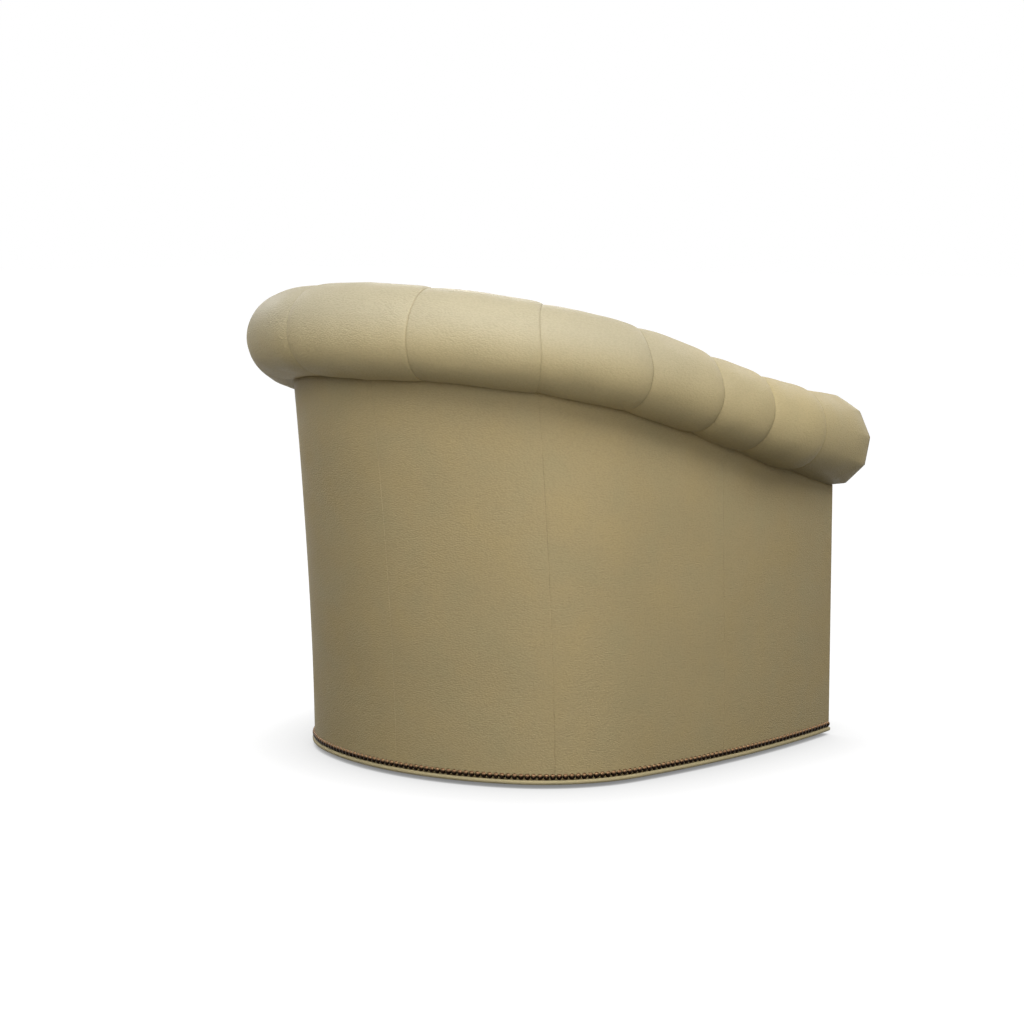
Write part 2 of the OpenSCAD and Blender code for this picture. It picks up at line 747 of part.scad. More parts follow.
// One station of the padding: its visible face from the deck to the edge on the roll
function pad_face(s, u) = let (
    puff = swell(u),
    out0 = -wall_t(s) - channel_puff * puff,
    r = roll_r(s) + roll_puff * (1 + puff) / 2 + pad_edge_t,
    centre = roll_out(s),
    out3 = centre + r * cos(pad_edge_angle),
    reach = pad_fullness * (out3 - out0),
    out2 = out3 - reach * sin(pad_edge_angle),
    h0 = (knee_z - roll_z(s)) * upward(s).z,
    h3 = r * sin(pad_edge_angle),
    h2 = h3 + reach * cos(pad_edge_angle),
    h1 = mix(h0, h3, 0.5),
    clear_r = r / cos(90 / pad_rows))
    [wall(s, out0, seat_z), wall(s, out0, (seat_z + knee_z) / 2),
        for (t = steps(0, 1, pad_rows)) let (v = 1 - t,
            out = v * v * (v + 3 * t) * out0 + 3 * v * t * t * out2 + t * t * t * out3,
            h = v * v * v * h0 + 3 * v * v * t * h1 + 3 * v * t * t * h2 + t * t * t * h3,
            f = t < 1 ? max(1, clear_r / norm([out - centre, h])) : 1,
            turn = max(0, h + r) / (h3 + r))
            pad_point(s, centre + (out - centre) * f, h * f, turn * turn * (3 - 2 * turn))];

// Its hidden face: up the webbing, then round the roll
function pad_hidden(s) = let (
    r = roll_r(s) + roll_puff + roll_room,
    back = pad_back - pad_room,
    a = 180 + acos(min(1, (roll_out(s) - back) / r)),
    turn = (a - pad_edge_angle) / (pad_rows - 1),
    low = r * sin(a) - gap)
    [wall(s, pad_back, seat_z), wall(s, back, (seat_z + roll_z(s) + low) / 2), pad_point(s, back, low, 1),
        for (i = [0:pad_rows - 1]) let (angle = a - i * turn,
            q = r / (i == 0 || i == pad_rows - 1 ? 1 : cos(turn / 2)))
            pad_point(s, roll_out(s) + q * cos(angle), q * sin(angle), 1)];

module padding(s1, seam_list) {
    marks = [0, 0.1, 0.2, 0.35, 0.5, 0.7, 0.9];
    stations = [for (i = [0:len(seam_list) - 2], m = marks)
        [mix(seam_list[i], seam_list[i + 1], m), m], [s1, 1]];
    color(leather)
    slab([for (st = stations) pad_hidden(st[0])], [for (st = stations) pad_face(st[0], st[1])]);
}

module inside_back() {
    padding(roll_seam_3,
        [-roll_seam_3, -roll_seam_2, -roll_seam_1, roll_seam_1, roll_seam_2, roll_seam_3]);
}

module inside_arm_right() {
    padding(s_arm, [roll_seam_3 + 2 * gap, roll_seam_4, roll_seam_5, roll_seam_6, s_arm]);
}

module inside_arm_left() {
    mirrored() inside_arm_right();
}

// Roll along the top edge

roll_sides = 2 * scroll_pleats;
// Outside the pleat corners the scroll is flat between them
function facet(k, f) = k % 2 == 0 ? 1 : 1 - f * (1 - cos(180 / scroll_pleats));

module roll_segment(s0, s1) {
    color(leather)
    skin([for (u = [0, 0.08, 0.25, 0.5, 0.75, 0.92, 1]) let (s = mix(s0, s1, u), f = front_share(s))
        [for (k = [0:roll_sides - 1]) roll_point(s, scroll_phase + k * 360 / roll_sides,
            (roll_r(s) + roll_puff * swell(u)) * facet(k, f))]]);
}

module roll_back() {
    roll_segment(-roll_seam_1, roll_seam_1);
}

module roll_right_1() {
    roll_segment(roll_seam_1, roll_seam_2);
}

module roll_right_2() {
    roll_segment(roll_seam_2, roll_seam_3);
}

module roll_right_3() {
    roll_segment(roll_seam_3, roll_seam_4);
}

module roll_right_4() {
    roll_segment(roll_seam_4, roll_seam_5);
}

module roll_right_5() {
    roll_segment(roll_seam_5, roll_seam_6);
}

module roll_left_1() {
    mirrored() roll_right_1();
}

module roll_left_2() {
    mirrored() roll_right_2();
}

module roll_left_3() {
    mirrored() roll_right_3();
}

module roll_left_4() {
    mirrored() roll_right_4();
}

module roll_left_5() {
    mirrored() roll_right_5();
}

module roll_front_right() {
    roll_segment(roll_seam_6, s_arm);
}

module roll_front_left() {
    mirrored() roll_front_right();
}

// Direction in which the arm front faces
function arm_ahead() = let (n = outward(s_arm)) [n.y, -n.x, 0];

// Pleated face of the scroll: a low dome whose folds run in to the button, which sits in its hollow
hub_share = 0.85;
module scroll_face_right() {
    rows = [[1, 0], [0.93, 0.45], [0.76, 0.8], [0.5, 1], [0.2, hub_share]];
    color(leather)
    skin([for (row = rows) [for (k = [0:roll_sides - 1])
        roll_point(s_arm, scroll_phase + k * 360 / roll_sides, scroll_r * facet(k, 1) * row[0])
        + arm_ahead() * (-scroll_dome * row[1] + (k % 2 == 0 || row[1] == 0 ? 0 : pleat_depth * row[0]))]]);
}

module scroll_face_left() {
    mirrored() scroll_face_right();
}

module scroll_buttons() {
    sphere_r = (button_r * button_r + button_h * button_h) / (2 * button_h);
    n = outward(s_arm);
    place = path(s_arm) - arm_ahead() * (scroll_dome * hub_share + gap);
    color(leather)
    both_sides()
    translate(place)
    rotate([0, 0, atan2(n.y, n.x) - 180])
    rotate([90, 0, 0])
    intersection() {
        translate([0, 0, button_h - sphere_r]) sphere(r = sphere_r);
        cylinder(r = button_r + 1, h = button_h + 1);
    }
}

// Outside cover

module cover(s0, s1) {
    color(leather)
    wall_block(s0, s1, -cover_t, 0, level(cover_z), cover_high, rows = 8);
}

module outside_back_right() {
    cover(0, roll_seam_2);
}

module outside_back_left() {
    mirrored() outside_back_right();
}

module outside_side_right() {
    cover(roll_seam_2, arm_panel_seam);
}

module outside_side_left() {
    mirrored() outside_side_right();
}

module outside_arm_right() {
    cover(arm_panel_seam, s_arm);
}

module outside_arm_left() {
    mirrored() outside_arm_right();
}

// Facings under the scrolls, cut round them at the top
module arm_facings() {
    rows = 6;
    function face(s) = [for (out = steps(-cover_t - gap, pad_back + gap, 6))
        let (top = min(roll_under(s_arm, out), roll_under(s_facing, out)) - gap)
        [for (t = steps(0, 1, rows)) wall(s, out, mix(cover_z, top, t))]];
    color(leather)
    both_sides() slab(face(s_arm), face(s_facing));
}

module front_panel() {
    half = -plan(s_arm, pad_back).x - gap;
    round_r = 11;
    color(leather)
    translate([-half, front_y, 0])
    rotate([90, 0, 90])
    linear_extrude(2 * half)
    union() {
        translate([0, cover_z]) square([panel_t, seat_z - cover_z - round_r]);
        translate([round_r, cover_z]) square([panel_t - round_r, seat_z - cover_z]);
        translate([round_r, seat_z - round_r]) circle(r = round_r);
    }
}

// Cloth stapled under the bottom board, open round the bearing
module dust_cover() {
    cloth_t = 0.8;
    color(dark_cloth)
    translate([0, 0, board_z - fine_gap - cloth_t])
    linear_extrude(cloth_t)
    difference() {
        polygon(outline(frame_in - gap, board_z, rail_back_y + gap));
        circle(r = plate_w / sqrt(2) + 4 * glide_h, $fn = 2 * $fn);
    }
}

// Nails and piping round the foot

module nail() {
    sphere_r = (nail_r * nail_r + nail_h * nail_h) / (2 * nail_h);
    intersection() {
        translate([0, 0, nail_h - sphere_r]) sphere(r = sphere_r, $fn = 24);
        cylinder(r = nail_r + 1, h = nail_h + 1, $fn = 24);
    }
}

// Nail on the wall at length s, or on the front at a place along it
module wall_nail(s) {
    n = outward(s);
    p = wall(s, gap, nail_z);
    translate(p) rotate([0, 0, atan2(n.y, n.x)]) rotate([0, 90, 0]) nail();
}

module nail_trim() {
    wall_count = 2 * floor((s_arm - nail_r) / nail_pitch);
    half = -plan(s_arm, pad_back).x;
    front_count = 2 * floor((half - nail_r) / nail_pitch);
    facing_count = floor((-pad_back - nail_r) / nail_pitch);
    a = outward(s_arm);
    color(nail_metal) {
        for (i = [0:wall_count])
            wall_nail((i - wall_count / 2) * nail_pitch);
        for (i = [0:front_count])
            translate([(i - front_count / 2) * nail_pitch, front_y - fine_gap, nail_z])
            rotate([90, 0, 0]) nail();
        both_sides()
        for (i = [0:facing_count - 1]) {
            p = plan(s_arm, -nail_r - fine_gap - i * nail_pitch);
            translate([p.x, p.y, nail_z] - arm_ahead() * fine_gap)
            rotate([0, 0, atan2(a.y, a.x) - 180])
            rotate([90, 0, 0]) nail();
        }
    }
}

module bottom_welt() {
    r = welt_d / 2;
    z = cover_z - r - fine_gap;
    sides = 8;
    ahead = arm_ahead();
    inner = [plan(s_arm, pad_back).x, front_y];
    function ring(p, n) = [for (k = [0:sides - 1]) let (a = (k + 0.5) * 360 / sides)
        [p.x + r * cos(a) * n.x, p.y + r * cos(a) * n.y, z + r * sin(a)]];
    color(leather)
    skin([
        for (s = wall_steps(-s_arm, s_arm)) let (n = outward(s), m = [ahead.x * side(s), ahead.y])
            ring(plan(s, 0), abs(s) < s_arm ? n : n - m),
        ring(inner, [0, -1]),
        ring([-inner.x, inner.y], [0, -1])], closed = true);
}

floor_glides();
base_disc();
lower_race();
race_screws();
ball_cage();
bearing_balls();
pivot_bolt();
pivot_washer();
pivot_nut();
swivel_plate();
plate_screws();
bottom_board();
bottom_rail();
front_rail();
back_posts();
side_posts();
front_posts();
top_rail();
arm_rail_right();
arm_rail_left();
seat_rail_back();
seat_rail_right();
seat_rail_left();
seat_rail_front();
corner_blocks();
seat_springs();
spring_clips();
seat_deck();
wall_webbing();
inside_back();
inside_arm_right();
inside_arm_left();
roll_back();
roll_right_1();
roll_right_2();
roll_right_3();
roll_right_4();
roll_right_5();
roll_left_1();
roll_left_2();
roll_left_3();
roll_left_4();
roll_left_5();
roll_front_right();
roll_front_left();
scroll_face_right();
scroll_face_left();
scroll_buttons();
outside_back_right();
outside_back_left();
outside_side_right();
outside_side_left();
outside_arm_right();
outside_arm_left();
arm_facings();
front_panel();
nail_trim();
bottom_welt();
dust_cover();
seat_cushion();
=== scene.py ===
import json
import math
import re

import bmesh
import bpy
import numpy as np
from mathutils import Matrix, Vector


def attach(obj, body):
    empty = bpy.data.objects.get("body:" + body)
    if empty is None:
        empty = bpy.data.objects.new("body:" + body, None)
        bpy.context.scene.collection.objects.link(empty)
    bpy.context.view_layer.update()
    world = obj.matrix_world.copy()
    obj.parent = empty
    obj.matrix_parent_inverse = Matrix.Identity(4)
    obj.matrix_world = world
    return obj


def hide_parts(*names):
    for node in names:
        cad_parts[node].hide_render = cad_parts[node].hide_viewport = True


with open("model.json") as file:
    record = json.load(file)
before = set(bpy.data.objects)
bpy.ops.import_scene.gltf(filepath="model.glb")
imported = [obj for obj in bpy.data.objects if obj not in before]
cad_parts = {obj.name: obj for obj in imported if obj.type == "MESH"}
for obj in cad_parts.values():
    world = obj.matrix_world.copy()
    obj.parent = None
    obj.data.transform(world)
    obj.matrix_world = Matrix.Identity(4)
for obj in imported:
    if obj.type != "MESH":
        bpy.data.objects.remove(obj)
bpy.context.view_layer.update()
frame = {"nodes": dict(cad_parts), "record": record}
nodes = frame["nodes"]

# Sizes repeated from part.scad, in millimetres
BACK_R, CORNER_R, ARM_R, ARM_LEN = 432.0, 238.0, 1550.0, 481.0
BACK_TURN, CORNER_TURN = math.radians(25.5), math.radians(49.5)
AXIS_TO_BACK, BACK_RAKE, RAKE_POWER = 340.0, 54.0, 1.6
ROLL_BACK_Z, ROLL_FALL, FALL_POWER = 681.5, 181.5, 1.25
ROLL_BACK_R, ROLL_ARM_R, FLARE_POWER = 70.0, 47.0, 1.5
ROLL_BACK_OUT, ROLL_ARM_OUT = 0.0, 22.0
SEAMS = [102.0, 262.0, 392.0, 518.0, 618.0, 729.0]
SCROLL_R, SCROLL_Z, SCROLL_OUT, PLEATS = 74.5, 487.0, -8.5, 10
SCROLL_PHASE, SCROLL_DOME, HUB_SHARE = math.radians(7.0), 13.0, 0.85
COVER_T, ARM_WALL, BACK_WALL = 5.0, 98.0, 128.0
FRONT_ROUND = 24.0
PANEL_SEAM, KNEE_H, PAD_EDGE = 584.0, 150.0, math.radians(110.0)
PAD_FULLNESS, CHANNEL_PUFF = 0.8, 10.0
NAIL_Z, NAIL_R, WELT_D = 18.0, 4.75, 7.4
FRAME_D, WEBBING_T, GAP, FINE_GAP = 40.0, 1.8, 0.3, 0.1
SEAT_Z, CUSHION_T, CUSHION_CROWN = 276.0, 138.0, 24.0
CUSHION_NOSE, CUSHION_GAP, CUSHION_BOW, CUSHION_TUCK = 8.0, 1.5, 12.0, 5.0
PANEL_T = 23.0
# Share of the roll's radius below its centre at which the wall's lean ends
LEAN_TOP = 0.9

# Lengths along the tub, heights, and the back of the padding, which part.scad works out in the same way
S_BACK = BACK_R * BACK_TURN
S_CORNER = S_BACK + CORNER_R * CORNER_TURN
S_ARM = S_CORNER + ARM_LEN
LAST = SEAMS[-1]
KNEE_Z = SEAT_Z + KNEE_H
COVER_Z = NAIL_Z - NAIL_R
PAD_BACK = -(COVER_T + GAP + FRAME_D) - WEBBING_T - 2 * GAP


# The tub's plan, roll and wall, as in part.scad but for arrays of lengths

def facing(h):
    """Direction in plan that is turned by h from the rear."""
    return np.stack([-np.sin(h), np.cos(h)], -1)


BACK_C = np.array([0.0, AXIS_TO_BACK - BACK_R])
CORNER_C = BACK_C + (BACK_R - CORNER_R) * facing(np.array(BACK_TURN))
ARM_C = CORNER_C + (CORNER_R - ARM_R) * facing(np.array(BACK_TURN + CORNER_TURN))


def heading(a):
    """Turn of the tub's outer face at length a from the back centre."""
    return np.where(a < S_BACK, a / BACK_R, np.where(
        a < S_CORNER, BACK_TURN + (a - S_BACK) / CORNER_R,
        BACK_TURN + CORNER_TURN + (a - S_CORNER) / ARM_R))


def plan(s, out):
    """Place in plan at length s, which is positive on one side and negative on the other."""
    s, out = np.broadcast_arrays(np.asarray(s, float), np.asarray(out, float))
    a = np.abs(s)
    first, second = (a < S_BACK)[..., None], (a < S_CORNER)[..., None]
    c = np.where(first, BACK_C, np.where(second, CORNER_C, ARM_C))
    r = np.where(a < S_BACK, BACK_R, np.where(a < S_CORNER, CORNER_R, ARM_R)) + out
    p = c + r[..., None] * facing(heading(a))
    p[..., 0] *= np.where(s < 0, -1.0, 1.0)
    return p


def outward(s):
    """Level direction out of the tub at length s."""
    s = np.asarray(s, float)
    n = facing(heading(np.abs(s)))
    n[..., 0] *= np.where(s < 0, -1.0, 1.0)
    return np.concatenate([n, np.zeros(n.shape[:-1] + (1,))], -1)


def mix(a, b, t):
    return a + (b - a) * t


def front_share(s):
    """Share of the way along the roll's front piece."""
    return np.clip((np.abs(s) - LAST) / (S_ARM - LAST), 0, 1)


def arm_share(s):
    """Share of the way from the back centre to the arm's front, which stops growing at the front piece."""
    return np.minimum(np.abs(s), LAST) / S_ARM


def roll_z(s):
    """Height of the roll's centre."""
    fall = ROLL_FALL * (1 - np.cos(np.pi * arm_share(s) ** FALL_POWER)) / 2
    return mix(ROLL_BACK_Z - fall, SCROLL_Z, front_share(s))


def roll_out(s):
    """Distance of the roll's centre outside the tub's face."""
    return mix(mix(ROLL_BACK_OUT, ROLL_ARM_OUT, arm_share(s)), SCROLL_OUT, front_share(s))


def roll_r(s):
    """Radius of the roll in its seams."""
    flare = np.clip((np.abs(s) - SEAMS[3]) / (S_ARM - SEAMS[3]), 0, 1) ** FLARE_POWER
    return mix(mix(ROLL_BACK_R, ROLL_ARM_R, arm_share(s)), SCROLL_R, flare)


def rake(s):
    """How far the top edge leans out behind the foot."""
    return BACK_RAKE * (1 + np.cos(np.pi * np.minimum(1, np.abs(s) / S_ARM))) / 2


def lean(s, z):
    """Share of the rake at height z: 0 at the nails, 1 where the wall meets the roll."""
    top = roll_z(s) - LEAN_TOP * roll_r(s)
    return np.clip((z - NAIL_Z) / (top - NAIL_Z), 0, 1) ** RAKE_POWER


def wall(s, out, z):
    """Point of the leaning wall."""
    s, out, z = np.broadcast_arrays(np.asarray(s, float), np.asarray(out, float), np.asarray(z, float))
    p = plan(s, out)
    return np.stack([p[..., 0], p[..., 1] + rake(s) * lean(s, z), z], -1)


def path(s):
    """Centre of the roll."""
    s = np.asarray(s, float)
    p = plan(s, roll_out(s))
    return np.stack([p[..., 0], p[..., 1] + rake(s), roll_z(s)], -1)


def along(s):
    """Direction of the roll's path, which turns level at the scroll."""
    d = path(s + 1) - path(s - 1)
    d[..., 2] *= 1 - front_share(s)
    return d / np.linalg.norm(d, axis=-1, keepdims=True)


def upward(s):
    """Direction square to the roll's path and to outward."""
    up = np.cross(outward(s), along(s))
    return up / np.linalg.norm(up, axis=-1, keepdims=True)


def roll_point(s, angle, r):
    """Point at radius r round the roll, at an angle that grows from outward to upward."""
    s, angle, r = np.broadcast_arrays(np.asarray(s, float), np.asarray(angle, float), np.asarray(r, float))
    return path(s) + r[..., None] * (np.cos(angle)[..., None] * outward(s)
                                     + np.sin(angle)[..., None] * upward(s))


def roll_under(s, out):
    """Height of the roll's underside over a place in the wall."""
    r, d, t = roll_r(s), out - roll_out(s), along(s)
    return roll_z(s) - np.sqrt(np.maximum(r * r - d * d, 0)) / np.sqrt(1 - t[..., 2] ** 2)


def wall_t(s):
    """Thickness of the wall at seat height, at the seams of the inside padding."""
    return mix(BACK_WALL, ARM_WALL, (1 - np.cos(np.pi * np.minimum(1, np.abs(s) / S_CORNER))) / 2)


# Number of waves that a ripple adds up, and what their sum seldom passes
WAVES, WAVES_REACH = 7, 3.2
# Distances of the close places at each end of a seamed piece
END_STEPS = np.array([0, 0.35, 0.8, 1.4, 2.2, 3.2, 4.6, 6.5, 9.0, 12.5, 17.0])


def ripple(p, size, seed):
    """Smooth uneven value of about -1 to 1 over points p, in waves of roughly the size given."""
    rng = np.random.default_rng(seed)
    total = np.zeros(p.shape[:-1])
    for _ in range(WAVES):
        d = rng.normal(size=3)
        d /= np.linalg.norm(d)
        total += np.sin(p @ d * (2 * math.pi / (size * rng.uniform(0.7, 1.6))) + rng.uniform(0, 6.28))
    return total / WAVES_REACH


def near_ends(a, b, coarse):
    """Places from a to b, close together at both ends and a coarse step apart between them."""
    reach = END_STEPS[-1]
    count = max(2, int(round((b - a - 2 * reach) / coarse)) - 1)
    inner = np.linspace(a + reach + coarse, b - reach - coarse, count)
    return np.concatenate([a + END_STEPS, inner, (b - END_STEPS)[::-1]])


# Meshes

def make(name, points, faces, body="chair", seam=None):
    """New piece from points in millimetres. seam, per point, is 1 down in a seam and 0 away from it, and also
    carries painted shade in the scroll's pleats, at tucked edges and under the cushion.
    """
    mesh = bpy.data.meshes.new(name)
    mesh.from_pydata((np.asarray(points).reshape(-1, 3) / 1000).tolist(), [], faces)
    layer = mesh.attributes.new("seam", "FLOAT", "POINT")
    values = np.zeros(len(mesh.vertices)) if seam is None else np.asarray(seam, float).reshape(-1)
    layer.data.foreach_set("value", values.astype(np.float32))
    mesh.polygons.foreach_set("use_smooth", [True] * len(mesh.polygons))
    work = bmesh.new()
    work.from_mesh(mesh)
    bmesh.ops.recalc_face_normals(work, faces=work.faces)
    work.to_mesh(mesh)
    work.free()
    obj = bpy.data.objects.new(name, mesh)
    bpy.context.scene.collection.objects.link(obj)
    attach(obj, body)
    return obj


def tube_faces(ni, nj, first=0, flat=False):
    """Faces of a grid that is closed round j, with each end one face, or a fan through a point that comes
    after the grid."""
    i, j = np.meshgrid(np.arange(ni - 1), np.arange(nj), indexing="ij")
    k = (j + 1) % nj
    quads = np.stack([i * nj + j, i * nj + k, (i + 1) * nj + k, (i + 1) * nj + j], -1).reshape(-1, 4) + first
    faces = quads.tolist()
    if flat:
        last = first + (ni - 1) * nj
        return faces + [list(range(first + nj - 1, first - 1, -1)), list(range(last, last + nj))]
    a, b = first + ni * nj, first + ni * nj + 1
    for m in range(nj):
        n = (m + 1) % nj
        faces.append([a, first + n, first + m])
        faces.append([b, first + (ni - 1) * nj + m, first + (ni - 1) * nj + n])
    return faces


def tube(name, rings, seam=0.0, body="chair", flat=False):
    """Closed piece through rings of points, with its ends capped. seam is a number, or one for each point."""
    rings = np.asarray(rings, float)
    ni, nj = rings.shape[:2]
    seam = np.broadcast_to(seam, (ni, nj)).reshape(-1)
    points = rings.reshape(-1, 3)
    if not flat:
        points = np.concatenate([points, rings[0].mean(0)[None], rings[-1].mean(0)[None]])
        seam = np.concatenate([seam, [seam[0], seam[-1]]])
    obj = make(name, points, tube_faces(ni, nj, flat=flat), body, seam)
    if flat:
        for face in obj.data.polygons:
            face.use_smooth = len(face.vertices) == 4
    return obj


def loop_tube(name, centres, radius, sides, body="chair"):
    """Cord of round section along a closed line of points."""
    centres = np.asarray(centres, float)
    ahead = np.roll(centres, -1, 0) - np.roll(centres, 1, 0)
    ahead /= np.linalg.norm(ahead, axis=1, keepdims=True)
    side = np.cross(ahead, [0, 0, 1.0])
    side /= np.linalg.norm(side, axis=1, keepdims=True)
    up = np.cross(side, ahead)
    a = np.linspace(0, 2 * math.pi, sides, endpoint=False)
    around = np.cos(a)[None, :, None] * side[:, None] + np.sin(a)[None, :, None] * up[:, None]
    rings = centres[:, None] + radius * around
    ni, nj = rings.shape[:2]
    faces = []
    for i in range(ni):
        for j in range(nj):
            m, n = (i + 1) % ni, (j + 1) % nj
            faces.append([i * nj + j, i * nj + n, m * nj + n, m * nj + j])
    return make(name, rings, faces, body)


def mirrored(obj, name):
    """The same piece on the other side of x = 0."""
    mesh = obj.data.copy()
    mesh.transform(Matrix.Scale(-1, 4, (1, 0, 0)))
    mesh.flip_normals()
    other = bpy.data.objects.new(name, mesh)
    bpy.context.scene.collection.objects.link(other)
    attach(other, "chair")
    return other


# Roll

ANGLES = np.linspace(0, 2 * math.pi, 120, endpoint=False)
# How straight the scroll's sides are between its pleats' corners: 1 is a true polygon
STRAIGHT = 0.97
# Distance between rings, and length over which a segment swells from its back seam
RING_STEP, SWELL_LENGTH = 5.0, 22.0
# Depth of the crease at a seam by the back centre and by the arms' fronts, and its width
CREASE_BACK, CREASE_ARM, CREASE_W = 0.4, 0.9, 0.8
# Depth and width of the softer hollow round a crease
HOLLOW, HOLLOW_W = 0.3, 3.0
# Darkness of a seam at the back centre, what the arms add to it, and its width
DARK_BACK, DARK_MORE, DARK_W = 0.12, 0.5, 0.9
# Height and size of the uneven swells in the leather, and how far from a seam they reach their full height
SWELL_H, SWELL_SIZE, SWELL_CALM = 0.45, 70.0, 14
# How far a tilted seam runs back at each angle, which is nothing where it meets the inside padding's seam
RUN_BACK = np.where(ANGLES < PAD_EDGE, np.sin(ANGLES * math.pi / PAD_EDGE), np.minimum(0, np.sin(ANGLES)))


def facet(angle, f):
    """Share of the radius at an angle round the scroll, which is straight between its pleats' corners."""
    step = 2 * math.pi / PLEATS
    off = np.mod(angle - SCROLL_PHASE, step) - step / 2
    return mix(1.0, math.cos(step / 2) / np.cos(off), f)


def roll_segment(name, s0, s1, puff, rounding, seed, both_ends=False, tilt=(0.0, 0.0), depth=(1.0, 1.0)):
    """Segment that starts level with the one behind it, swells, and rounds off to its front seam.
    tilt says how far each end's seam runs back over the top of the roll and forward underneath, and
    depth how deep and dark each end's seam is."""
    s = near_ends(s0, s1, RING_STEP)
    d = np.minimum(s - s0, s1 - s)
    fall = np.sqrt(1 - np.clip(1 - (d if both_ends else s1 - s) / rounding, 0, 1) ** 2)
    rise = 1.0 if both_ends else 1 - np.exp(-(s - s0) / SWELL_LENGTH)
    swell = puff * rise * fall
    deep = np.where(s - s0 < s1 - s, depth[0], depth[1])
    crease = mix(CREASE_BACK, CREASE_ARM, arm_share(s)) * np.exp(-(d / CREASE_W))
    dive = deep * (crease + HOLLOW * np.exp(-(d / HOLLOW_W)))
    share = (s - s0) / (s1 - s0)
    place = s[:, None] - mix(tilt[0], tilt[1], share)[:, None] * RUN_BACK[None, :]
    # The scroll's straight sides come in late along the front piece
    r = (roll_r(place) + (swell - dive)[:, None]) * facet(ANGLES[None, :], front_share(place) ** 4 * STRAIGHT)
    rings = roll_point(place, ANGLES[None, :], r)
    n = (rings - path(place)) / r[..., None]
    uneven = SWELL_H * ripple(rings, SWELL_SIZE, seed) * np.clip(d / SWELL_CALM, 0, 1)[:, None]
    rings = rings + n * uneven[..., None]
    dark = np.minimum(deep * (DARK_BACK + DARK_MORE * arm_share(s)), 1.0) * np.exp(-(d / DARK_W) ** 2)
    return tube(name, rings, dark[:, None])


leather_pieces = []
# How far each segment swells, and the length over which it rounds off to its front seam
puffs = [2.8, 3.0, 4.8, 6.6, 6.8]
roundings = [16.0, 18.0, 30.0, 34.0, 36.0]
# Each seam's tilt and depth
tilts = [0.0, 7.0, 10.0, 10.0, 5.0, 4.0]
depths = [1.0, 0.3, 0.9, 1.1, 1.3, 1.8]
piece = roll_segment("roll_centre", -SEAMS[0], SEAMS[0], puff=2.4, rounding=16.0, seed=1, both_ends=True)
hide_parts("roll_back")
leather_pieces.append(piece)
for i in range(5):
    right = roll_segment("roll_segment_right_%d" % (i + 1), SEAMS[i], SEAMS[i + 1],
                         puff=puffs[i], rounding=roundings[i], seed=2 + i,
                         tilt=(tilts[i], tilts[i + 1]), depth=(depths[i], depths[i + 1]))
    left = mirrored(right, "roll_segment_left_%d" % (i + 1))
    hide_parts("roll_right_%d" % (i + 1))
    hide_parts("roll_left_%d" % (i + 1))
    leather_pieces += [right, left]
right = roll_segment("roll_flare_right", LAST, S_ARM, puff=2.0, rounding=22.0, seed=9,
                     tilt=(tilts[5], 0.0), depth=(depths[5], 1.0))
left = mirrored(right, "roll_flare_left")
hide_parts("roll_front_right")
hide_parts("roll_front_left")
leather_pieces += [right, left]


# Pleated scroll faces and their buttons

# Section of the scroll's face from its rim to the button: share of the radius, and height in front of the arm
FACE_SHARE = np.array([0.995, 1.0, 0.995, 0.985, 0.965, 0.94, 0.9, 0.85, 0.79, 0.72,
                       0.64, 0.56, 0.48, 0.4, 0.33, 0.27, 0.22, 0.17, 0.1])
FACE_RISE = np.array([-2.0, 0.4, 2.2, 3.8, 5.6, 7.2, 8.9, 10.4, 11.6, 12.5,
                      13.0, 13.1, 12.9, 12.4, 11.8, 11.3, 10.9, 10.4, 10.0])
# Share of a pleat's width over which it rises before it drops to the next, and height that stays in place
FOLD_TOP, FOLD_LEVEL = 0.86, 0.6
# Depth of the pleats at shares of the radius
FOLD_AT, FOLD_DEPTH = [0.1, 0.2, 0.45, 0.9, 1.0], [0.2, 1.6, 3.2, 1.8, 0.0]
# Painted shade in the pleats: where across a pleat it is darkest, how wide that is, the depth that is fully
# dark, and the painted shade at the rim
FOLD_SHADE_AT, FOLD_SHADE_W, FOLD_SHADE_DEPTH, RIM_SHADE = 0.93, 0.05, 3, 0.8
# Section of a button: radius, and height over the hub
BUTTON = [(10.5, -0.6), (11.6, 0.0), (12.0, 0.8), (11.7, 1.7), (10.9, 2.7),
          (9.6, 3.7), (7.8, 4.6), (5.6, 5.4), (3.0, 5.9), (1.0, 6.0)]


def ahead_of_arm():
    """Direction straight ahead from the arm's front."""
    n = outward(S_ARM)
    return np.array([-n[1], n[0], 0.0])


def scroll_face(name):
    """Domed face of the scroll, whose pleats are deepest halfway in."""
    a = np.linspace(0, 2 * math.pi, 200, endpoint=False)
    turn = np.mod(a - SCROLL_PHASE, 2 * math.pi / PLEATS) / (2 * math.pi / PLEATS)
    fold = np.where(turn < FOLD_TOP, turn / FOLD_TOP, (1 - turn) / (1 - FOLD_TOP))
    deep = np.interp(FACE_SHARE, FOLD_AT, FOLD_DEPTH)
    height = FACE_RISE[:, None] + (fold[None, :] - FOLD_LEVEL) * deep[:, None]
    radius = SCROLL_R * FACE_SHARE[:, None] * facet(a[None, :], STRAIGHT)
    rings = roll_point(S_ARM, a[None, :], radius) + ahead_of_arm() * height[..., None]
    # Painted shade down the steep side of each pleat, darker where the pleat is deeper, and in the joint
    # round the rim
    seam = np.exp(-((turn - FOLD_SHADE_AT) / FOLD_SHADE_W) ** 2)[None, :]
    seam = seam * np.clip(deep / FOLD_SHADE_DEPTH, 0, 1)[:, None]
    seam = np.maximum(seam, RIM_SHADE * (FACE_RISE < 1)[:, None])
    return tube(name, rings, seam)


right = scroll_face("pleated_scroll_right")
left = mirrored(right, "pleated_scroll_left")
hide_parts("scroll_face_right")
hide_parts("scroll_face_left")
leather_pieces += [right, left]

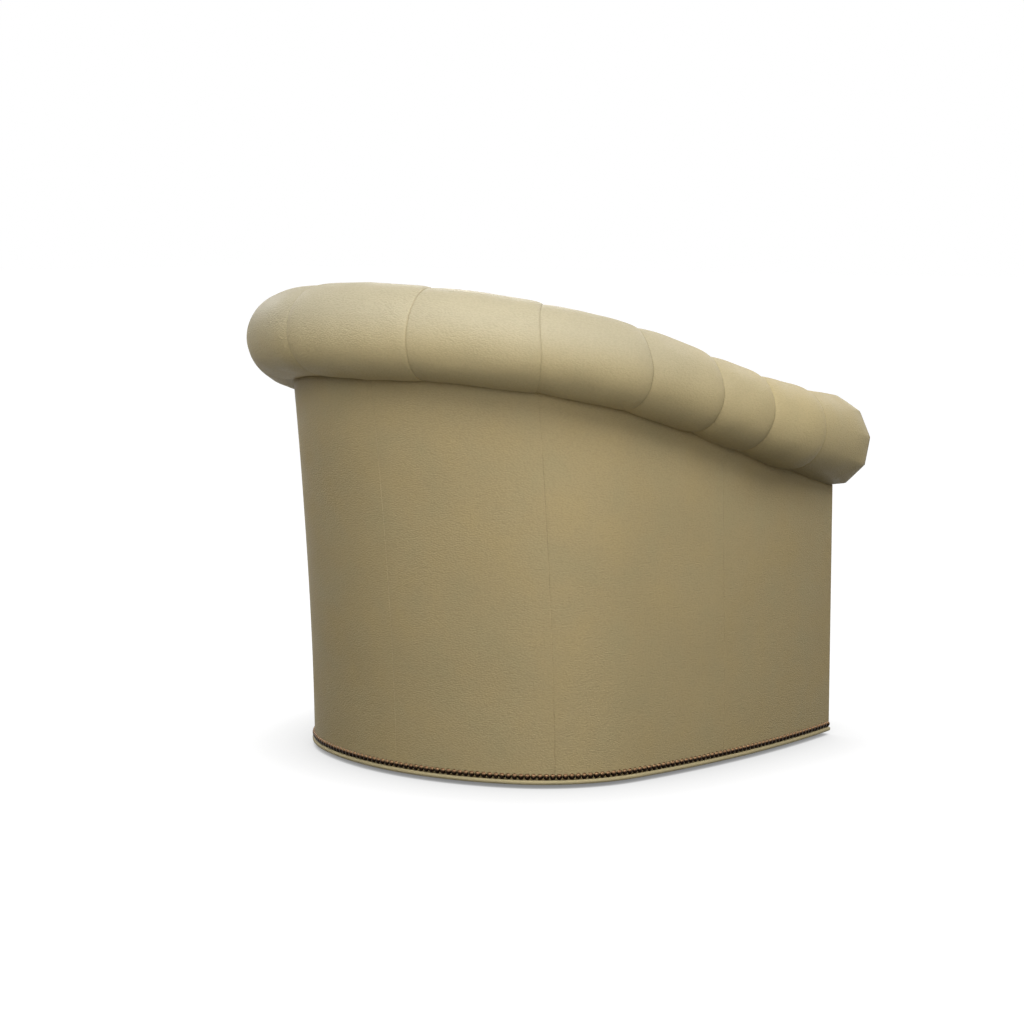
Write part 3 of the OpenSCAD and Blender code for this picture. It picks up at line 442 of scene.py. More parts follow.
a = np.linspace(0, 2 * math.pi, 48, endpoint=False)
rings = []
for r, h in BUTTON:
    rings.append(roll_point(S_ARM, a, r) + ahead_of_arm() * (SCROLL_DOME * HUB_SHARE + GAP + h))
# Only the first ring is dark: painted shade where the button goes into the hub
right = tube("tuft_button_right", rings, np.where(np.arange(len(BUTTON)) < 1, 1.0, 0.0)[:, None])
left = mirrored(right, "tuft_button_left")
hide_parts("scroll_buttons")
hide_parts("scroll_buttons")
leather_pieces += [right, left]


# Outside cover

# Distance between the cover's columns, and how far it goes in behind the roll
COVER_STEP, TUCK = 9.0, 2.0
# Depth and width of the cover's crease at a seam, of the hollow round it, and of the fold at its foot
COVER_CREASE, COVER_CREASE_W = 0.3, 0.7
COVER_HOLLOW, COVER_HOLLOW_W = 0.2, 5.0
FOOT_FOLD, FOOT_FOLD_W = 1.2, 0.8
# Height and size of the slack leather's swells, how far it is set in so that they stay near the cover's face,
# how far from a seam it is fully slack, the height where that begins, and over what rise it grows
SLACK_H, SLACK_SIZE, SLACK_IN, SLACK_CALM, SLACK_FOOT, SLACK_RISE = 0.7, 190.0, 0.5, 40, 60, 90
# Darkness and width of the line in a seam, and its level, range and size as it comes and goes
COVER_DARK, COVER_DARK_W = 0.22, 0.5
FAINT_LEVEL, FAINT_RANGE, FAINT_SIZE = 0.5, 0.9, 55.0


def cover(name, s0, s1, seed):
    """One panel of the outside cover. The front end is a plain edge, and the others are seams."""
    s = near_ends(s0, s1, COVER_STEP)
    t = np.concatenate([[0, 0.002, 0.006, 0.015], np.linspace(0.03, 1, 52)])
    top = roll_under(s, np.full_like(s, 0.0)) + TUCK
    z = COVER_Z + (top - COVER_Z)[:, None] * t[None, :]
    d = np.minimum(s - s0, s1 - s)
    crease = -COVER_CREASE * np.exp(-(d / COVER_CREASE_W))[:, None]
    hollow = COVER_HOLLOW * np.exp(-(d / COVER_HOLLOW_W))[:, None]
    face = wall(s[:, None], crease - hollow - FOOT_FOLD * np.exp(-((z - COVER_Z) / FOOT_FOLD_W)), z)
    # Slack leather between the seams
    calm = np.clip(d / SLACK_CALM, 0, 1)[:, None] * np.clip((z - SLACK_FOOT) / SLACK_RISE, 0, 1)
    n = outward(s)[:, None]
    face = face + n * (SLACK_H * ripple(face, SLACK_SIZE, seed) * calm - SLACK_IN * calm)[..., None]
    back = wall(s[:, None], -COVER_T, z)
    rings = np.concatenate([face, back[:, ::-1]], 1)
    # The seams' dark line comes and goes, and the arm's front edge has none
    sewn = np.where(s > (s0 + s1) / 2, float(s1 < S_ARM), 1.0)
    faint = np.clip(FAINT_LEVEL + FAINT_RANGE * ripple(face, FAINT_SIZE, 40), 0, 1)
    seam = COVER_DARK * faint * (sewn * np.exp(-(d / COVER_DARK_W) ** 2))[:, None]
    return tube(name, rings, np.concatenate([seam, seam], 1), flat=True)


spans = [("back", 0.0, SEAMS[1]), ("side", SEAMS[1], PANEL_SEAM), ("arm", PANEL_SEAM, S_ARM)]
for i, (word, s0, s1) in enumerate(spans):
    right = cover("cover_%s_right" % word, s0, s1, 20 + i)
    left = mirrored(right, "cover_%s_left" % word)
    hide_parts("outside_%s_right" % word)
    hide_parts("outside_%s_left" % word)
    leather_pieces += [right, left]


# Stitches along the cover's seams

# Places along a stitch, as shares of its length, with its width there
STITCH = [(-0.5, 0.35), (-0.3, 0.9), (0.0, 1.0), (0.3, 0.9), (0.5, 0.35)]
# How far a stitch arches up, and how high its section is, as shares of its radius
STITCH_ARCH, STITCH_FLAT = 0.25, 0.7
# How far the stitches are beside their seam, out of the cover, over its foot and under the roll
STITCH_BESIDE, STITCH_OUT, STITCH_FOOT, STITCH_TOP = 1.5, -0.75, 14, 2


def stitches(name, lines, length, pitch, radius):
    """Short threads along lines of points, each with a line of outward directions."""
    points, faces = [], []
    ring = np.linspace(0, 2 * math.pi, 6, endpoint=False)
    for line, normals in lines:
        run = np.concatenate([[0], np.cumsum(np.linalg.norm(np.diff(line, axis=0), axis=1))])
        for at in np.arange(pitch / 2, run[-1] - pitch / 2, pitch):
            p = np.array([np.interp(at, run, line[:, k]) for k in range(3)])
            q = np.array([np.interp(at + 0.5, run, line[:, k]) for k in range(3)])
            n = np.array([np.interp(at, run, normals[:, k]) for k in range(3)])
            t = (q - p) / np.linalg.norm(q - p)
            n /= np.linalg.norm(n)
            b = np.cross(t, n)
            first = len(points)
            for x, w in STITCH:
                lift = STITCH_ARCH * radius * (1 - (2 * x) ** 2)
                for a in ring:
                    high = n * (lift + STITCH_FLAT * radius * w * math.sin(a))
                    points.append(p + t * x * length + high + b * radius * w * math.cos(a))
            points += [p - t * length / 2, p + t * length / 2]
            faces += tube_faces(len(STITCH), len(ring), first)
    return make(name, points, faces)


lines = []
for s0 in (0.0, SEAMS[1], -SEAMS[1], PANEL_SEAM, -PANEL_SEAM):
    beside = s0 + math.copysign(STITCH_BESIDE, s0)
    top = float(roll_under(np.array(s0), np.array(0.0)))
    line = wall(beside, STITCH_OUT, np.linspace(COVER_Z + STITCH_FOOT, top - STITCH_TOP, 60))
    lines.append((line, np.broadcast_to(outward(beside), line.shape)))
thread = stitches("cover_stitches", lines, length=3.0, pitch=5.2, radius=0.22)


# Inside padding

# Distance between rings, and the deep crease and wide hollow at a seam, with their widths
PAD_STEP = 7.0
PAD_CREASE, PAD_CREASE_W = 3.0, 1.6
PAD_HOLLOW, PAD_HOLLOW_W = 1.5, 6.0
# Thickness of the padding on the roll at a seam, what a channel adds to it, and its room over the roll below
PAD_EDGE_T, PAD_EDGE_MORE, PAD_ROOM = 1.4, 1.8, 2.0
# Height of the padding's foot over the seat, and number of rows on the straight part and on the curved part
PAD_FOOT, STRAIGHT_ROWS, CURVED_ROWS = 0.5, 13, 40
# How the edge turns in to the roll: degrees round it below the padding's end, and depth
PAD_RIM = [(1.0, 0.5), (2.0, 1.6), (2.4, 3.2), (2.0, 5.0), (0.0, 8.0)]
# How much thinner the padding on the roll gets where it rounds over, as a share of the rounding
PAD_THIN = 0.05
# The padding's back: its angles inside the roll, how far under the roll's centre it leaves the roll, and the
# shares of the height from there to the seat at which it has rows
PAD_BEHIND, PAD_LEAVES, PAD_BACK_ROWS = np.linspace(112, 172, 8), 60, (1.0, 0.66, 0.33, 0.0)
# Height and size of the face's uneven swells, how far from a seam they are full, and the number of rows
# without them by the edge
PAD_SWELL_H, PAD_SWELL_SIZE, PAD_SWELL_CALM, PAD_SWELL_EDGE = 0.8, 90.0, 20, 5
# Darkness and width of a seam, and the length without one at the arm's front
PAD_DARK, PAD_DARK_W, PAD_PLAIN = 0.75, 0.8, 10
# How dark the painted shade is where the padding's edge turns in to meet the roll, and the rows there
PAD_RIM_SHADE = 0.7
RIM_ROWS = slice(STRAIGHT_ROWS + CURVED_ROWS + 2, STRAIGHT_ROWS + CURVED_ROWS + len(PAD_RIM))


def pad_point(s, out, h, turn):
    """Point of the padding at height h over the roll's centre: square to the level where turn is 0, and to
    the roll's path where turn is 1."""
    up = upward(s)
    rise = h / up[..., 2]
    p = wall(s, out, roll_z(s) + rise)
    shift = h[..., None] * up - np.stack([0 * rise, 0 * rise, rise], -1)
    return p + turn[..., None] * shift


def padding(name, seam_list, node, seed):
    """Inside padding in channels between the seams listed, rounded over where it ends at an arm's front."""
    s = [near_ends(a, b, PAD_STEP) for a, b in zip(seam_list[:-1], seam_list[1:])]
    u = np.concatenate([(x - x[0]) / (x[-1] - x[0]) for x in s])
    d = np.concatenate([np.minimum(x - x[0], x[-1] - x) for x in s])
    s = np.concatenate(s)
    keep = np.concatenate([[True], np.diff(s) > 1e-6])
    s, u, d = s[keep], u[keep], d[keep]
    swell = 1 - np.abs(2 * u - 1) ** 2.5
    dive = PAD_CREASE * np.exp(-d / PAD_CREASE_W) + PAD_HOLLOW * np.exp(-d / PAD_HOLLOW_W)
    over = np.clip(1 - (S_ARM - s) / FRONT_ROUND, 0, 1)
    over = FRONT_ROUND * (1 - np.sqrt(1 - over ** 2))
    out0 = -wall_t(s) - CHANNEL_PUFF * swell + dive + over
    r = roll_r(s) + PAD_EDGE_T + PAD_EDGE_MORE * swell - PAD_THIN * over
    # A cubic curve from the knee over the seat (0) to the end round the roll (3)
    centre = roll_out(s)
    out3 = centre + r * math.cos(PAD_EDGE)
    reach = PAD_FULLNESS * (out3 - out0)
    out2 = out3 - reach * math.sin(PAD_EDGE)
    h0 = (KNEE_Z - roll_z(s)) * upward(s)[:, 2]
    h3 = r * math.sin(PAD_EDGE)
    h2 = h3 + reach * math.cos(PAD_EDGE)
    h1 = mix(h0, h3, 0.5)
    rows = []
    for z in np.linspace(SEAT_Z + PAD_FOOT, KNEE_Z, STRAIGHT_ROWS + 1)[:-1]:
        rows.append(wall(s, out0, z))
    for t in np.linspace(0, 1, CURVED_ROWS):
        v = 1 - t
        out = v * v * (v + 3 * t) * out0 + 3 * v * t * t * out2 + t ** 3 * out3
        h = v ** 3 * h0 + 3 * v * v * t * h1 + 3 * v * t * t * h2 + t ** 3 * h3
        away = np.hypot(out - centre, h)
        f = np.maximum(1, (r + PAD_ROOM * v) / away)
        turn = np.maximum(0, h + r) / (h3 + r)
        rows.append(pad_point(s, centre + (out - centre) * f, h * f, turn * turn * (3 - 2 * turn)))
    for a, sink in PAD_RIM:
        rows.append(roll_point(s, PAD_EDGE - math.radians(a), r - sink))
    # The back of the padding, inside the roll and then down the webbing
    hidden = roll_r(s) - PAD_RIM[-1][1]
    for a in PAD_BEHIND:
        rows.append(roll_point(s, math.radians(a), hidden))
    for share in PAD_BACK_ROWS:
        rows.append(wall(s, PAD_BACK, mix(SEAT_Z + PAD_FOOT, roll_z(s) - PAD_LEAVES, share)))
    rings = np.stack(rows, 1)
    # Uneven swells on the face, away from the seams and from the edge
    on_face = np.arange(rings.shape[1]) < STRAIGHT_ROWS + CURVED_ROWS - PAD_SWELL_EDGE
    calm = np.clip(d / PAD_SWELL_CALM, 0, 1)[:, None] * np.where(on_face, 1, 0)[None, :]
    uneven = PAD_SWELL_H * ripple(rings, PAD_SWELL_SIZE, seed) * calm
    rings = rings - outward(s)[:, None] * uneven[..., None]
    sewn = np.where(s > S_ARM - PAD_PLAIN, 0.0, PAD_DARK)
    seam = np.broadcast_to((sewn * np.exp(-(d / PAD_DARK_W) ** 2))[:, None], rings.shape[:2]).copy()
    # Painted shade where the padding's edge turns in to meet the roll
    seam[:, RIM_ROWS] = PAD_RIM_SHADE
    piece = tube(name, rings, seam, flat=True)
    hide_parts(node)
    return piece


piece = padding("inside_back_channels", [-SEAMS[2], -SEAMS[1], -SEAMS[0], SEAMS[0], SEAMS[1], SEAMS[2]],
                "inside_back", 31)
leather_pieces.append(piece)
right = padding("inside_arm_channels_right", SEAMS[2:] + [S_ARM], "inside_arm_right", 32)
left = mirrored(right, "inside_arm_channels_left")
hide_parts("inside_arm_left")
leather_pieces += [right, left]


# Arm facings and front panel

# Depth and width of the fold at a facing's edges, and of the one at the front panel's ends
FACING_FOLD, FACING_FOLD_W = 2.0, 2.0
PANEL_FOLD, PANEL_FOLD_W = 1.5, 1.2
# Radius of the front panel's top edge
PANEL_ROUND = 12

out = np.concatenate([[-COVER_T - GAP], np.linspace(-COVER_T - GAP, PAD_BACK + GAP, 15), [PAD_BACK + GAP]])
edge = np.minimum(out[0] - out, out - out[-1])
top = roll_under(np.full_like(out, S_ARM), out) + 1.0
rings = []
for t in np.linspace(0, 1, 40):
    z = COVER_Z + (top - COVER_Z) * t
    face = wall(S_ARM, out, z) - ahead_of_arm() * (FACING_FOLD * np.exp(-edge / FACING_FOLD_W))[:, None]
    back = wall(S_ARM - COVER_T, out, z)
    rings.append(np.concatenate([face, back[::-1]]))
right = tube("arm_facing_right", rings, flat=True)
left = mirrored(right, "arm_facing_left")
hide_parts("arm_facings")
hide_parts("arm_facings")
leather_pieces += [right, left]

front_y = float(plan(S_ARM, PAD_BACK)[1])
half = float(-plan(S_ARM, PAD_BACK)[0]) - GAP
# Section of the front panel: how far back, and how high
profile = [(0.9, COVER_Z), (0.3, COVER_Z + 1)]
profile += [(0.0, z) for z in np.linspace(COVER_Z + 4, SEAT_Z - PANEL_ROUND - 2, 24)]
for a in np.linspace(0, math.pi / 2, 8):
    back = PANEL_ROUND - PANEL_ROUND * math.cos(a)
    profile.append((back, SEAT_Z - PANEL_ROUND + PANEL_ROUND * math.sin(a)))
profile += [(PANEL_T, SEAT_Z), (PANEL_T, COVER_Z)]
profile = np.array(profile)
from_end = np.array([0, 0.5, 1.5, 4])
rings = []
for x in np.concatenate([-half + from_end, np.linspace(-half + 10, half - 10, 40), (half - from_end)[::-1]]):
    inset = PANEL_FOLD * math.exp(-(half - abs(x)) / PANEL_FOLD_W)
    y = front_y + profile[:, 0] + inset * (profile[:, 0] < PANEL_T - 1)
    rings.append(np.stack([np.full(len(y), x), y, profile[:, 1]], 1))
piece = tube("front_panel_cover", rings, flat=True)
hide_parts("front_panel")
leather_pieces.append(piece)


# Piping round the foot

def smooth_loop(points, rounds):
    """Closed line with its corners cut off in each round."""
    p = np.asarray(points, float)
    for _ in range(rounds):
        q = np.roll(p, -1, 0)
        p = np.stack([0.75 * p + 0.25 * q, 0.25 * p + 0.75 * q], 1).reshape(-1, 3)
    return p


welt_z = COVER_Z - WELT_D / 2 - FINE_GAP
s = np.linspace(-S_ARM, S_ARM, 260)
line = plan(s, 0.0)
points = list(np.concatenate([line, np.full((len(line), 1), welt_z)], 1))
inner = plan(S_ARM, PAD_BACK)
for x in np.linspace(inner[0], -inner[0], 30):
    points.append([x, front_y, welt_z])
welt = loop_tube("foot_piping", smooth_loop(points, 2), WELT_D / 2 - 0.15, sides=14)
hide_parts("bottom_welt")


# Loose cushion

# How far the side is drawn in beside the seams, how far it bulges between them, and how fast it is drawn in
SIDE_PULL, SIDE_BULGE, PULL_W = 4.0, 3.4, 2.2
# Height from a seam to where the side begins
SIDE_START = 5
# Section over the top seam: inset from the outline, and height over the edge
TOP_EDGE = [(7.5, -2.2), (10, -0.6), (14, 0.8), (20, 2.2)]
# Powers that shape the crown from the middle out, and height and size of its uneven swells
CROWN_INNER, CROWN_OUTER, CROWN_SWELL_H, CROWN_SWELL_SIZE = 2.5, 0.9, 1.6, 150.0
# Width of the dark line at a seam, and darkness of the ring over the top seam
CUSHION_DARK_W, TOP_DARK = 1.5, 0.7
# Radius of the cushion's piping, its inset, and its distance from the top and from the underside
CUSHION_WELT_R, CUSHION_WELT_IN, CUSHION_WELT_TOP, CUSHION_WELT_FOOT = 3.0, 3.4, 3.0, 3.6


def cushion_outline(count):
    """Evenly spaced points round the cushion, which follows the padding and bows out along its front."""
    y_front = front_y - CUSHION_NOSE
    s = np.linspace(-S_ARM, S_ARM, 600)
    inset = CHANNEL_PUFF + CUSHION_GAP
    side = wall(s, -wall_t(s) - inset, SEAT_Z)[:, :2]
    side[:, 1] = np.maximum(side[:, 1], y_front)
    w = -float(plan(S_ARM, -wall_t(np.array(S_ARM)) - inset)[0])
    t = np.linspace(-1, 1, 80)[1:-1]
    bow = np.stack([w * t, y_front - CUSHION_BOW * np.cos(math.pi / 2 * t)], 1)
    q = np.concatenate([side, bow, side[:1]])
    run = np.concatenate([[0], np.cumsum(np.linalg.norm(np.diff(q, axis=0), axis=1))])
    at = np.linspace(0, run[-1], count, endpoint=False)
    p = np.stack([np.interp(at, run, q[:, 0]), np.interp(at, run, q[:, 1])], 1)
    for _ in range(10):
        p = (np.roll(p, 1, 0) + 2 * p + np.roll(p, -1, 0)) / 4
    return p


ring = cushion_outline(280)
centre = np.array([0.0, (ring[:, 1].max() + ring[:, 1].min()) / 2])
tangent = np.roll(ring, -1, 0) - np.roll(ring, 1, 0)
normal = np.stack([tangent[:, 1], -tangent[:, 0]], 1)
normal /= np.linalg.norm(normal, axis=1, keepdims=True)
normal *= np.sign(((ring - centre) * normal).sum(1).mean())
z0, z1 = SEAT_Z + GAP, SEAT_Z + GAP + CUSHION_T


def inset_ring(inset, z):
    """The outline drawn in by a distance."""
    p = ring - normal * inset
    return np.concatenate([p, np.full((len(p), 1), z)], 1)


def share_ring(f, z):
    """The outline shrunk towards its centre."""
    p = centre + (ring - centre) * f
    return np.concatenate([p, np.full((len(p), 1), z)], 1)


# marks says how dark each ring is: painted shade on the underside, and both seams
rings = [share_ring(0.3, z0), share_ring(0.6, z0), share_ring(0.85, z0)]
rings += [inset_ring(12, z0 + 0.3), inset_ring(6, z0 + 1.2)]
marks = [1, 1, 1, 0.2, 0.6]
side_h = CUSHION_T - 2 * SIDE_START
for t in np.linspace(0, 1, 17):
    near = min(t, 1 - t) * side_h
    pull = SIDE_PULL * math.exp(-near / PULL_W)
    inset = CUSHION_TUCK + pull - SIDE_BULGE * math.sin(math.pi * t)
    rings.append(inset_ring(inset, z0 + SIDE_START + side_h * t))
    marks.append(math.exp(-near / CUSHION_DARK_W))
for inset, h in TOP_EDGE:
    rings.append(inset_ring(inset, z1 + h))
    marks.append(TOP_DARK if (inset, h) == TOP_EDGE[0] else 0)
top = slice(len(rings), None)
for f in np.linspace(0.9, 0.04, 26):
    rings.append(share_ring(f, z1 + CUSHION_CROWN * (1 - f ** CROWN_INNER) ** CROWN_OUTER))
    marks.append(0)
rings = np.array(rings)
growth = np.linspace(0.2, 1, len(rings[top]))[:, None]
rings[top, :, 2] += CROWN_SWELL_H * ripple(rings[top], CROWN_SWELL_SIZE, 41) * growth
cushion = tube("loose_cushion", rings, np.array(marks)[:, None], "cushion")
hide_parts("seat_cushion")
leather_pieces.append(cushion)
for word, z in (("top", z1 - CUSHION_WELT_TOP), ("bottom", z0 + CUSHION_WELT_FOOT)):
    piece = loop_tube("cushion_welt_" + word, inset_ring(CUSHION_WELT_IN, z), CUSHION_WELT_R,
                      sides=12, body="cushion")
    leather_pieces.append(piece)


# Materials

def put(value, target):
    """Link a socket to the target, or set the target to a plain value."""
    if isinstance(value, bpy.types.NodeSocket):
        target.id_data.links.new(value, target)
    else:
        target.default_value = value


def fill(n, **values):
    """Set a node's properties of the names given, or else its inputs of those names, and return it."""
    for key, value in values.items():
        if hasattr(n, key):
            setattr(n, key, value)
        else:
            put(value, n.inputs[key.replace("_", " ")])
    return n


def feed(n, *values):
    """Set a node's inputs to the values in turn, and return its first output."""
    for value, target in zip(values, n.inputs):
        put(value, target)
    return n.outputs[0]


def add(tree, kind, **values):
    """New node with its properties and inputs filled."""
    return fill(tree.nodes.new(kind), **values)


def calc(tree, operation, a, b):
    """Result of a Math node."""
    return feed(add(tree, "ShaderNodeMath", operation=operation), a, b)


def blend(tree, factor, a, b, how="MIX"):
    """Colour a mixed with b, or multiplied by it, as far as the factor says."""
    n = add(tree, "ShaderNodeMix", data_type="RGBA", blend_type=how, Factor=factor, A=a, B=b)
    return n.outputs["Result"]


def facing_up(tree):
    """Height of the object's own normal: 1 where it faces up, and -1 where it faces down."""
    normal = add(tree, "ShaderNodeTexCoord").outputs["Normal"]
    return add(tree, "ShaderNodeSeparateXYZ", Vector=normal).outputs["Z"]


def new_material(name):
    """Material, its node tree, its Principled shader, and the place on the object."""
    m = bpy.data.materials.new(name)
    m.use_nodes = True
    tree = m.node_tree
    return m, tree, tree.nodes["Principled BSDF"], add(tree, "ShaderNodeTexCoord").outputs["Object"]


def linear(r, g, b):
    """Linear colour of an sRGB one in 0 to 255."""
    def one(c):
        c /= 255
        return c / 12.92 if c <= 0.04045 else ((c + 0.055) / 1.055) ** 2.4
    return (one(r), one(g), one(b), 1.0)


def ramp(tree, source, stops):
    """Colour ramp over a value, through stops of (position, colour)."""
    n = add(tree, "ShaderNodeValToRGB", Fac=source)
    while len(n.color_ramp.elements) > 1:
        n.color_ramp.elements.remove(n.color_ramp.elements[0])
    n.color_ramp.elements[0].position = stops[0][0]
    n.color_ramp.elements[0].color = stops[0][1]
    for at, colour in stops[1:]:
        e = n.color_ramp.elements.new(at)
        e.color = colour
    return n.outputs["Color"]


def grey(v):
    return (v, v, v, 1.0)


LEATHER_ROUGHNESS = 0.52


def leather(name, tones, seam_and_shade_tone, grain, painted_sheen=None):
    """Leather with a pebbled grain. Leather given a lighter, greyer tone for its top gets it painted where it
    faces up, more so at the back, as a painted sheen of the light from above. Such leather also gets painted
    shade where it faces down, more so towards the front."""
    m, tree, shader, where = new_material(name)
    patches = add(tree, "ShaderNodeTexNoise", Vector=where, Scale=14.0, Detail=3.0, Roughness=0.5)
    colour = ramp(tree, patches.outputs["Fac"], [(0.3, tones[0]), (0.5, tones[1]), (0.7, tones[2])])
    if painted_sheen:
        # Painted sheen: a lighter, greyer tone where it faces up, more so at the back, which stands in for
        # light from above
        up = facing_up(tree)
        upper = add(tree, "ShaderNodeMapRange", interpolation_type="SMOOTHSTEP",
                    Value=up, From_Min=-0.6, From_Max=0.6).outputs["Result"]
        y = add(tree, "ShaderNodeSeparateXYZ", Vector=where).outputs["Y"]
        rear = add(tree, "ShaderNodeMapRange", interpolation_type="SMOOTHSTEP",
                   Value=y, From_Min=-0.15, From_Max=0.3, To_Min=0.1).outputs["Result"]
        colour = blend(tree, calc(tree, "MULTIPLY", upper, rear), colour, painted_sheen)
        # Painted shade where it faces down, more so towards the front
        under = add(tree, "ShaderNodeMapRange", Value=up, From_Min=-1.0).outputs["Result"]
        painted_underside_shade = ramp(tree, under, [(0.0, grey(0.35)), (0.12, grey(0.65)), (0.3, grey(1.0))])
        colour = blend(tree, calc(tree, "SUBTRACT", 1.0, rear), colour, painted_underside_shade, "MULTIPLY")
    # Pebbles that are wider than high, on places bent a little by noise
    level = add(tree, "ShaderNodeMapping", Vector=where, Scale=(1.0, 1.0, 1.9)).outputs["Vector"]
    warp = add(tree, "ShaderNodeTexNoise", Vector=where, Scale=240.0, Detail=2.0).outputs["Color"]
    bent = feed(add(tree, "ShaderNodeVectorMath", operation="MULTIPLY_ADD"),
                warp, (0.0022, 0.0022, 0.0022), level)
    pebbles = add(tree, "ShaderNodeTexVoronoi", feature="F1", Vector=bent, Scale=270.0).outputs["Distance"]
    folds = add(tree, "ShaderNodeTexNoise", Vector=level, Scale=300.0, Detail=4.0, Roughness=0.7,
                Distortion=0.4).outputs["Fac"]
    pores = ramp(tree, pebbles, [(0.25, grey(1.0)), (0.75, grey(0.90))])
    colour = blend(tree, 0.7, colour, pores, "MULTIPLY")
    # The seam attribute darkens the seams towards the dark tone given, and with them the painted shade that
    # it also carries
    seam = add(tree, "ShaderNodeAttribute", attribute_name="seam").outputs["Fac"]
    rough = add(tree, "ShaderNodeMapRange", Value=patches.outputs["Fac"], From_Min=0.3, From_Max=0.7,
                To_Min=LEATHER_ROUGHNESS - 0.05, To_Max=LEATHER_ROUGHNESS + 0.06)
    grained = add(tree, "ShaderNodeBump", invert=True, Strength=0.85 * grain, Distance=0.0007, Height=pebbles)
    folded = add(tree, "ShaderNodeBump", Strength=0.45 * grain, Distance=0.0010, Height=folds,
                 Normal=grained.outputs["Normal"])
    fill(shader, Base_Color=blend(tree, seam, colour, seam_and_shade_tone), Roughness=rough.outputs["Result"],
         Normal=folded.outputs["Normal"], Specular_IOR_Level=0.1)
    return m


def metal(name, tones, roughness, scale, bump, metallic=1.0):
    """Metal whose tone and gloss are uneven, or hard plastic where metallic is 0."""
    m, tree, shader, where = new_material(name)
    wear = add(tree, "ShaderNodeTexNoise", Vector=where, Scale=scale, Detail=4.0,
               Roughness=0.6).outputs["Fac"]
    rough = add(tree, "ShaderNodeMapRange", Value=wear, To_Min=roughness - 0.08, To_Max=roughness + 0.1)
    relief = add(tree, "ShaderNodeBump", Strength=bump, Distance=0.0004, Height=wear)
    fill(shader, Base_Color=ramp(tree, wear, [(0.35, tones[0]), (0.65, tones[1])]),
         Roughness=rough.outputs["Result"], Normal=relief.outputs["Normal"], Metallic=metallic)
    return m


def wood(name, tones, roughness):
    """Wood whose grain runs along Y."""
    m, tree, shader, where = new_material(name)
    squeeze = add(tree, "ShaderNodeMapping", Vector=where, Scale=(40.0, 6.0, 40.0)).outputs["Vector"]
    rings = add(tree, "ShaderNodeTexNoise", Vector=squeeze, Scale=1.6, Detail=6.0, Roughness=0.62,
                Distortion=1.2)
    fibre = add(tree, "ShaderNodeTexNoise", Vector=squeeze, Scale=9.0, Detail=3.0)
    relief = add(tree, "ShaderNodeBump", Strength=0.25, Distance=0.0005, Height=fibre.outputs["Fac"])
    colour = ramp(tree, rings.outputs["Fac"], [(0.3, tones[0]), (0.5, tones[1]), (0.72, tones[2])])
    fill(shader, Base_Color=colour, Normal=relief.outputs["Normal"], Roughness=roughness)
    return m


def cloth(name, tones, pitch, bump=0.5):
    """Plain weave of two crossing waves."""
    m, tree, shader, where = new_material(name)
    one, two = [add(tree, "ShaderNodeTexWave", bands_direction=d, Vector=where, Scale=pitch, Distortion=0.6)
                for d in "XY"]
    both = calc(tree, "MAXIMUM", one.outputs["Fac"], two.outputs["Fac"])
    relief = add(tree, "ShaderNodeBump", Strength=bump, Distance=0.0006, Height=both)
    fill(shader, Base_Color=ramp(tree, both, [(0.2, tones[0]), (0.9, tones[1])]),
         Normal=relief.outputs["Normal"], Roughness=0.9)
    return m


tan_leather = leather("tan_leather", [linear(179, 163, 122), linear(182, 164, 122), linear(184, 165, 121)],
                      linear(84, 70, 44), grain=0.7)
# The roll's leather has lighter tones than the tan leather, with a painted sheen where it faces up and
# painted shade where it faces down
roll_leather = leather("roll_leather", [linear(198, 181, 136), linear(200, 182, 136), linear(202, 184, 137)],
                       linear(104, 90, 62), grain=0.7, painted_sheen=linear(183, 173, 145))
welt_leather = leather("welt_leather", [linear(186, 173, 134), linear(190, 176, 136), linear(194, 179, 138)],
                       linear(90, 78, 52), grain=0.3)
thread_material = cloth("sewing_thread", [linear(62, 53, 34), linear(86, 74, 50)], 900.0, 0.3)
bronze = metal("antiqued_bronze", [linear(16, 10, 7), linear(32, 20, 14)], 0.34, 700.0, 0.15)
# Painted highlight: the nails' dark finish turns a light copper where they face up, which stands in for light
# from above
tree = bronze.node_tree
shader = tree.nodes["Principled BSDF"]
painted_highlight = ramp(tree, facing_up(tree), [(0.05, grey(0.0)), (0.55, grey(1.0))])
finish = shader.inputs["Base Color"].links[0].from_socket
fill(shader, Base_Color=blend(tree, painted_highlight, finish, linear(112, 88, 64)))
dark_wood = wood("dark_stained_wood", [linear(30, 21, 15), linear(44, 31, 22), linear(60, 43, 30)], 0.42)
frame_timber = wood("frame_timber", [linear(158, 118, 76), linear(186, 146, 100), linear(206, 170, 124)], 0.7)
zinc = metal("zinc_plate", [linear(150, 150, 146), linear(186, 186, 182)], 0.38, 60.0, 0.05)
steel = metal("plain_steel", [linear(120, 120, 120), linear(160, 160, 160)], 0.35, 160.0, 0.08)
polished = metal("polished_steel", [linear(190, 190, 192), linear(214, 214, 216)], 0.16, 200.0, 0.02)
cage = metal("brass_cage", [linear(150, 116, 58), linear(186, 150, 84)], 0.36, 120.0, 0.06)
plastic = metal("glide_plastic", [linear(28, 28, 28), linear(44, 44, 44)], 0.5, 90.0, 0.1, metallic=0.0)
dark_cloth = cloth("dust_cloth", [linear(22, 22, 22), linear(40, 39, 38)], 420.0)
jute = cloth("jute_webbing", [linear(122, 100, 66), linear(176, 150, 108)], 260.0)

